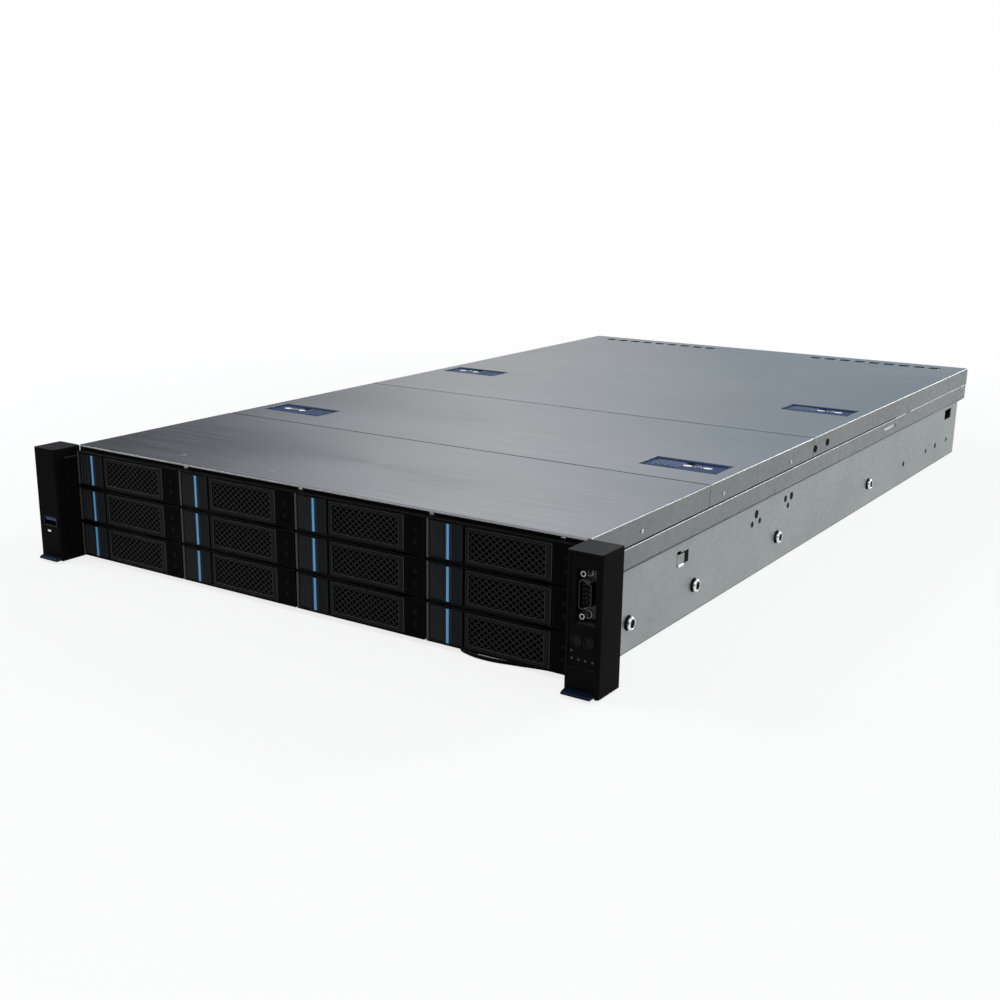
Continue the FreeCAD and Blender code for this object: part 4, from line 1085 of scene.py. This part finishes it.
def make_lever(tag, where, node):
    """The frame, lattice and pin of one lever."""
    pin = JOINTS[f"lever_{tag}_hinge"]["pos_m"][0] / MM - where[0].x
    frame_steps = [(add_ring, box_outline(*LEVER, 0.8), box_outline(*LEVER_WINDOW, 0.5),
                    LEVER_FRONT, LEVER_BACK)]
    pin_steps = [(add_rod, (pin, -7.0, side * 11.8), 0.95, 1.4, "z", 16) for side in (-1, 1)]
    return {
        "lever_frame": new_piece(f"lever_frame_{tag}", where, "lever_moulding lever_edge",
                                 frame_steps, 0.35, 2, 1, node),
        "lever_lattice": new_piece(f"lever_lattice_{tag}", where, "lattice_moulding",
                                   [(add_lattice,)]),
        "lever_pin": new_piece(f"lever_pin_{tag}", where, "lever_moulding", pin_steps),
    }


def add_lattice(bm):
    """Diamond cells between thin bars, cut off at the lever's window."""
    wide = sizes().cell_wide / MM
    tall = sizes().cell_tall / MM
    keep = 1 - sizes().cell_wall / sizes().cell_tall
    left, low, right, high = LEVER_WINDOW
    front, back = LEVER_FRONT + 0.7, LEVER_FRONT + 1.7
    columns = int((right - left) / wide) + 2
    rows = int((high - low) / tall) + 2
    for column in range(-1, 2 * columns):
        for row in range(-1, rows):
            x = left + column * wide / 2
            z = low + (row + (column % 2) / 2) * tall
            outer = [(x + wide / 2, z), (x, z + tall / 2), (x - wide / 2, z), (x, z - tall / 2)]
            inner = [(x + (a - x) * keep, z + (b - z) * keep) for a, b in outer]
            rim = [bm.verts.new((a, front, b)) for a, b in outer]
            lip = [bm.verts.new((a, front, b)) for a, b in inner]
            foot = [bm.verts.new((a, back, b)) for a, b in inner]
            for i in range(4):
                bm.faces.new((rim[i - 1], rim[i], lip[i], lip[i - 1]))
                bm.faces.new((lip[i - 1], lip[i], foot[i], foot[i - 1]))
    for spot, way in (((left, 0, 0), (-1, 0, 0)), ((right, 0, 0), (1, 0, 0)),
                      ((0, 0, low), (0, 0, -1)), ((0, 0, high), (0, 0, 1))):
        bmesh.ops.bisect_plane(bm, geom=bm.verts[:] + bm.edges[:] + bm.faces[:],
                               plane_co=spot, plane_no=way, clear_outer=True)
    bmesh.ops.remove_doubles(bm, verts=bm.verts, dist=0.001)


# ---------------------------------------------------------------- ears and controls


class SERVER_OT_ears(bpy.types.Operator):
    """Both ears with their ports, buttons, lamps and pull tabs"""

    bl_idname = "server.ears"
    bl_label = "Ears and controls"

    def execute(self, context):
        for node in ("left_ear", "right_ear"):
            make_ear(node)
        for node in ("left_pull_tab", "right_pull_tab"):
            dress_node(node, "tab_moulding", 0.4, 3)
        for node in ("power_button", "locate_button"):
            dress_node(node, "button_moulding", 0.2)
        make_display_port()
        make_usb_port()
        make_control_marks()
        make_tag()
        return {"FINISHED"}


def make_ear(node):
    """The ear's skin, with painted light on its upward faces."""
    shell = node_shells(node)[0]
    for face in shell.faces:
        face.material_index = 2 if face.normal.z > FACING else 0
    skin_from(shell, node + "_skin", node, "ear_moulding ear_edge ear_top",
              sizes().edge_round / MM, 3, 1)


PORT_ACROSS = 230.1
PORT_HEIGHT = 61.4
PORT_ROWS = (-1.9, 0.0, 1.9)
JACK_RISE = 12.5


def port_outline(grow):
    """The D shape of the display port, standing on its end."""
    wide, tall = 4.1 + grow, 8.9 + grow
    return [(-wide, -tall + 1.2), (-wide + 1.4, -tall), (wide - 1.6, -tall + 1.6),
            (wide, -tall + 3.0), (wide, tall - 3.0), (wide - 1.6, tall - 1.6),
            (-wide + 1.4, tall), (-wide, tall - 1.2)]


def paint_glints_on_level_faces(bm):
    """Gives the faces that look up or down a piece's second, brighter finish: painted glints."""
    for face in bm.faces:
        face.normal_update()
        face.material_index = 1 if abs(face.normal.z) > FACING else 0


def make_display_port():
    """Flange, D-shaped shell with painted glints above and below, contact block, two jack screws."""
    where = (ahead(PORT_ACROSS, 0, PORT_HEIGHT), "chassis", "port_metal")
    new_piece("display_flange", where, "port_dark",
              [(add_prism, box_outline(-5.2, -15.2, 5.2, 15.2, 1.5), -19.5, -18.2)], 0.2,
              replaces="front_ports")
    new_piece("display_shell", where, "port_dark rivet_dull",
              [(add_ring, port_outline(0.0), port_outline(-0.55), -24.6, -19.4),
               (paint_glints_on_level_faces,)], 0.12)
    new_piece("display_block", where, "dark_void",
              [(add_prism, port_outline(-0.7), -22.4, -19.5)], 0.1)
    new_piece("display_contacts", where, "port_dark",
              [(add_rod, (across, -22.45, (step - 2) * 2.7 + (0.0 if across else 0.7)),
                0.42, 0.3, "y", 10) for across in PORT_ROWS for step in range(5)])
    for name, up in (("lower", -JACK_RISE), ("upper", JACK_RISE)):
        spot = (ahead(PORT_ACROSS, 0, PORT_HEIGHT + up), "chassis", "port_metal")
        new_piece(f"jack_screw_{name}", spot, "jack_metal",
                  [(add_tube, -1.2, 0, 1.9, 1.2, -25.2, -19.4, "y", 6),
                   (add_tube, 0, 0, 2.5, 2.0, -20.1, -19.4)], 0.2)


USB_WIDE, USB_TALL = 7.2, 3.6        # half of the shell's width and height


def make_usb_port():
    """Steel shell with a blue tongue and its contacts."""
    where = (ahead(-229.0, 0, 31.0), "chassis", "port_metal")
    x, z = USB_WIDE, USB_TALL
    new_piece("usb_shell", where, "port_dark",
              [(add_ring, box_outline(-x, -z, x, z, 0.8),
                box_outline(0.6 - x, 0.6 - z, x - 0.6, z - 0.6, 0.4), -25.6, -10.0)], 0.12,
              replaces="front_ports")
    new_piece("usb_tongue", where, "port_blue",
              [(add_box, (1.4 - x, -24.8, 0.6), (x - 1.4, -11.0, 2.6))], 0.15)
    new_piece("usb_contacts", where, "contact_gold",
              [(add_box, (-4.3 + 2.6 * step, -24.6, 0.45), (-3.5 + 2.6 * step, -16.0, 0.65))
               for step in range(4)])
    new_piece("usb_back", where, "dark_void",
              [(add_box, (0.5 - x, -12.0, 0.5 - z), (x - 0.5, -10.5, z - 0.5))])


LENS_SPOTS = ((222.9, 27.7), (223.2, 23.1), (227.6, 23.0), (232.0, 22.9), (236.7, 22.8))
BUTTON_RINGS = (PORT_ACROSS - 4.2, PORT_ACROSS + 3.8)
BUTTON_HEIGHT = 34.3


def make_control_marks():
    """Indicator lenses in the ears, button rings and the line under the panel."""
    where = (ORIGIN, "chassis", "ear_black")
    new_piece("right_ear_lenses", where, "lens_grey",
              [(add_rod, (across, -25.25, up), 0.75, 0.3, "y", 16) for across, up in LENS_SPOTS],
              0.05)
    # The line under the panel and the button rings take the lighter edge finish: painted highlights.
    new_piece("right_ear_line", where, "ear_edge",
              [(add_box, (221.0, -25.5, 17.7), (239.0, -25.1, 18.2))])
    new_piece("button_rings", where, "ear_edge",
              [(add_tube, across, BUTTON_HEIGHT, 3.6, 3.05, -25.5, -25.1, "y", 32)
               for across in BUTTON_RINGS], 0.1)
    new_piece("left_ear_mark", (ahead(-230.3, 0, 23.5), "chassis", "ear_black"), "white_mark",
              [(add_prism, box_outline(-1.7, -0.7, 1.7, 0.7, 0.5), -25.95, -25.7)])


LIP_OUTLINE = [(131, -3.2), (133, -4.9), (137, -6.6), (142, -8.1), (147, -9.0), (152, -9.3),
               (157.5, -9.1), (163, -8.4), (169, -7.0), (176, -5.6), (182, -4.2), (188, -2.8),
               (194, -1.8), (202, -1.2), (202, -0.4), (131, -0.4)]
# The outline of the painted highlight on the lip.
GLINT_OUTLINE = [(148, -8.7), (158, -8.6), (168, -7.1), (168, -6.4), (158, -7.9), (148, -8.0)]


def make_tag():
    """The pull-out card's lip, with a pale bar on its front that paints a highlight."""
    where = (ORIGIN, "info_tag", "tag_black")
    new_piece("tag_card", where, "carrier_moulding",
              [(add_box, (133, -1, 1.5), (200, 62, 2.9))], 0.1, replaces="info_tag")
    new_piece("tag_lip", where, "carrier_moulding ear_edge",
              [(add_prism, LIP_OUTLINE, 0.4, 3.0, "z")], 0.4, 3, 1)
    new_piece("tag_bar", where, "tag_bar", [(add_prism, GLINT_OUTLINE, 2.9, 3.2, "z")])


# ---------------------------------------------------------------- inside and rear


class SERVER_OT_inside(bpy.types.Operator):
    """Fans, air duct, boards, modules and coolers"""

    bl_idname = "server.inside"
    bl_label = "Inside"

    def execute(self, context):
        dress_node("backplane", "board_mask", 0.2)
        dress_node("fan_wall", "inner_sheet", 0.2)
        dress_node("fan_frames", "fan_moulding", 0.4)
        for number in range(1, 5):
            make_fan(number)
        dress_node("main_board", "board_mask", 0.2)
        dress_node("heat_sinks", "fin_alloy", 0.1)
        dress_node("memory_modules", "module_mask", 0.1)
        make_module_chips()
        make_board_parts()
        make_backplane_parts()
        dress_node("air_duct", "duct_moulding", 0.3)
        dress_node("riser_cages", "inner_sheet", 0.2)
        return {"FINISHED"}


def make_fan(number):
    """The wheel, and the plain cap that covers its hub."""
    node = f"fan_impeller_{number}"
    dress_node(node, "fan_moulding", 0.2)
    where = (Vector(JOINTS[node + "_spin"]["pos_m"]) / MM, node, "impeller_black")
    new_piece(f"fan_cap_{number}", where, "button_moulding",
              [(add_rod, (0, -13.2, 0), 13.0, 0.6, "y", 48, 12.4),
               (add_tube, 0, 0, 15.4, 14.4, -13.3, -12.8, "y", 48)], 0.15)


BOARD_TOP = 6.6
MODULE_BANKS = (-190, -54, 14, 150)
MODULE_STEP = 8


def make_module_chips():
    """Memory chips on both faces of every module."""
    chips = [(add_box, (face * 0.7, 14.0 * step - 5.2, 14), (face * 1.6, 14.0 * step + 5.2, 26))
             for face in (-1, 1) for step in range(-4, 5)]
    first = None
    for bank, across in enumerate(MODULE_BANKS, 1):
        for step in range(6):
            name = f"module_chips_{bank}_{step + 1}"
            where = (ahead(across + MODULE_STEP * step, 350, BOARD_TOP), "chassis",
                     "module_green")
            if first:
                repeat_piece(first, name, where)
            else:
                first = new_piece(name, where, "chip_black", chips, 0.15)


# Each chip on the main board: its left and front edges, its width and its depth.
BOARD_CHIPS = ((-118, 470, 14, 10), (-90, 500, 9, 9), (20, 500, 18, 18), (60, 470, 10, 14),
               (80, 540, 12, 8), (170, 520, 16, 16), (-30, 700, 20, 14), (186, 720, 12, 12),
               (-170, 500, 16, 12), (-190, 460, 10, 10), (-60, 730, 14, 8))


def make_board_parts():
    """Capacitors, coils and chips on the open parts of the main board."""
    where = (ORIGIN, "chassis", "board_green")
    foot, can_level = BOARD_TOP - 0.1, BOARD_TOP + 4
    starts = [side * 100 - 36 for side in (-1, 1)]
    cans = [(add_rod, (start + 8 * step, 414, can_level), 2.6, 8.0, "z", 16)
            for start in starts for step in range(10)]
    cans += [(add_rod, (-40 + 12 * step, 560, can_level), 3.0, 8.0, "z", 16)
             for step in range(7)]
    new_piece("board_capacitors", where, "can_alloy", cans, 0.3)
    coils = [(add_box, (start + 10 * step, 424, foot),
              (start + 10 * step + 7.5, 431.5, BOARD_TOP + 5))
             for start in starts for step in range(8)]
    new_piece("board_coils", where, "chip_black", coils, 0.5)
    chips = [(add_box, (left, front, foot), (left + wide, front + deep, BOARD_TOP + 1.6))
             for left, front, wide, deep in BOARD_CHIPS]
    new_piece("board_chips", where, "chip_black", chips, 0.2)
    grit = []
    for row in range(9):
        for step in range(22):
            across = -205 + 19 * step + (row * 7) % 11
            along = 441 + 13 * row + (step * 5) % 7
            if across > -125 or along < 550:
                grit.append((add_box, (across, along, foot),
                             (across + 2.4, along + 1.3, BOARD_TOP + 0.8)))
    new_piece("board_small_parts", where, "can_alloy", grit)


def make_backplane_parts():
    """Drive plugs on the front of the backplane and power headers on its rear."""
    where = (ORIGIN, "chassis", "board_green")
    middles = [carrier_place(tag) for tag in CARRIERS]
    plugs = [(add_box, (middle.x - 45, 158.5, middle.z - 8.5),
              (middle.x - 11, 163.2, middle.z - 3.5)) for middle in middles]
    new_piece("drive_plugs", where, "chip_black", plugs, 0.3)
    headers = [(add_box, (66 * step - 180, 165.2, 8), (66 * step - 158, 174, 16))
               for step in range(6)]
    new_piece("power_headers", where, "white_mark", headers, 0.3)


class SERVER_OT_rear(bpy.types.Operator):
    """Rear wall, its ports, slot blanks and power supplies"""

    bl_idname = "server.rear"
    bl_label = "Rear and supplies"

    def execute(self, context):
        dress_node("rear_panel", "inner_sheet", 0.2)
        dress_node("slot_blanks", "inner_sheet", 0.2)
        for number in (1, 2):
            make_supply(number)
        return {"FINISHED"}


INLET_PINS = ((-23.5, 3.0), (-18.5, -2.0), (-13.5, 3.0))
SUPPLY_BACK = 780.0
GUARD_ACROSS = 12
GUARD_RADII = (4.0, 8.0, 12.0, 15.0)
WIRE = 0.45              # half of the guard wires' thickness


def guard_bar(degrees):
    """The outline of a guard wire across the rings."""
    way = Vector((math.cos(math.radians(degrees)), math.sin(math.radians(degrees))))
    off = Vector((-way.y, way.x)) * WIRE
    ends = [way * 15 + off, way * -15 + off, way * -15 - off, way * 15 - off]
    return [(GUARD_ACROSS + end.x, end.y) for end in ends]


def make_supply(number):
    """Skins for a supply and its latch, with the inlet's pins, a fan guard and a lamp."""
    node = f"power_supply_{number}"
    dress_node(node, "supply_sheet", 0.3)
    dress_node(f"supply_latch_{number}", "port_blue", 0.3)
    middle = middle_of(node)
    where = (ahead(middle.x, 0, middle.z), node, "supply_steel")
    new_piece(f"inlet_pins_{number}", where, "port_nickel",
              [(add_box, (across - 0.9, 769, up - 2.2), (across + 0.9, 778, up + 2.2))
               for across, up in INLET_PINS], 0.2)
    rings = [(add_tube, GUARD_ACROSS, 0, radius + WIRE, radius - WIRE, SUPPLY_BACK,
              SUPPLY_BACK + 0.9, "y", 40) for radius in GUARD_RADII]
    bars = [(add_prism, guard_bar(degrees), SUPPLY_BACK + 0.1, SUPPLY_BACK + 0.8)
            for degrees in (45, 135)]
    new_piece(f"supply_guard_{number}", where, "port_nickel", rings + bars, 0.1)
    new_piece(f"supply_fan_shade_{number}", where, "dark_void",
              [(add_rod, (GUARD_ACROSS, SUPPLY_BACK + 0.05, 0), 15.2, 0.2, "y", 48)])
    new_piece(f"supply_lamp_{number}", where, "light_pipe",
              [(add_rod, (-33.5, SUPPLY_BACK + 0.2, -14), 1.2, 0.6, "y", 16)], 0.1)


# ---------------------------------------------------------------- panel and start


class SERVER_PT_panel(bpy.types.Panel):
    """Lists the server's groups of pieces"""

    bl_idname = "SERVER_PT_panel"
    bl_label = "Rack server"
    bl_space_type = "VIEW_3D"
    bl_region_type = "UI"
    bl_category = "Rack server"

    def draw(self, context):
        for operator in OPERATORS:
            self.layout.operator(operator.bl_idname)
        for group in (context.scene.server_sizes, context.scene.server_colours):
            for name in group.bl_rna.properties.keys():
                if name not in ("rna_type", "name"):
                    self.layout.prop(group, name)


OPERATORS = (
    SERVER_OT_stage, SERVER_OT_chassis, SERVER_OT_covers, SERVER_OT_cover_latches,
    SERVER_OT_carriers, SERVER_OT_levers, SERVER_OT_ears, SERVER_OT_inside, SERVER_OT_rear,
)
CLASSES = (ServerSizes, ServerColours, *OPERATORS, SERVER_PT_panel)


def register():
    for item in CLASSES:
        bpy.utils.register_class(item)
    bpy.types.Scene.server_sizes = bpy.props.PointerProperty(type=ServerSizes)
    bpy.types.Scene.server_colours = bpy.props.PointerProperty(type=ServerColours)


def unregister():
    del bpy.types.Scene.server_colours
    del bpy.types.Scene.server_sizes
    for item in reversed(CLASSES):
        bpy.utils.unregister_class(item)


def main():
    register()
    bpy.ops.server.stage()
    bpy.ops.server.chassis()
    bpy.ops.server.covers()
    bpy.ops.server.cover_latches()
    bpy.ops.server.carriers()
    bpy.ops.server.levers()
    bpy.ops.server.ears()
    bpy.ops.server.inside()
    bpy.ops.server.rear()
    bpy.context.view_layer.update()


if __name__ == "__main__":
    main()
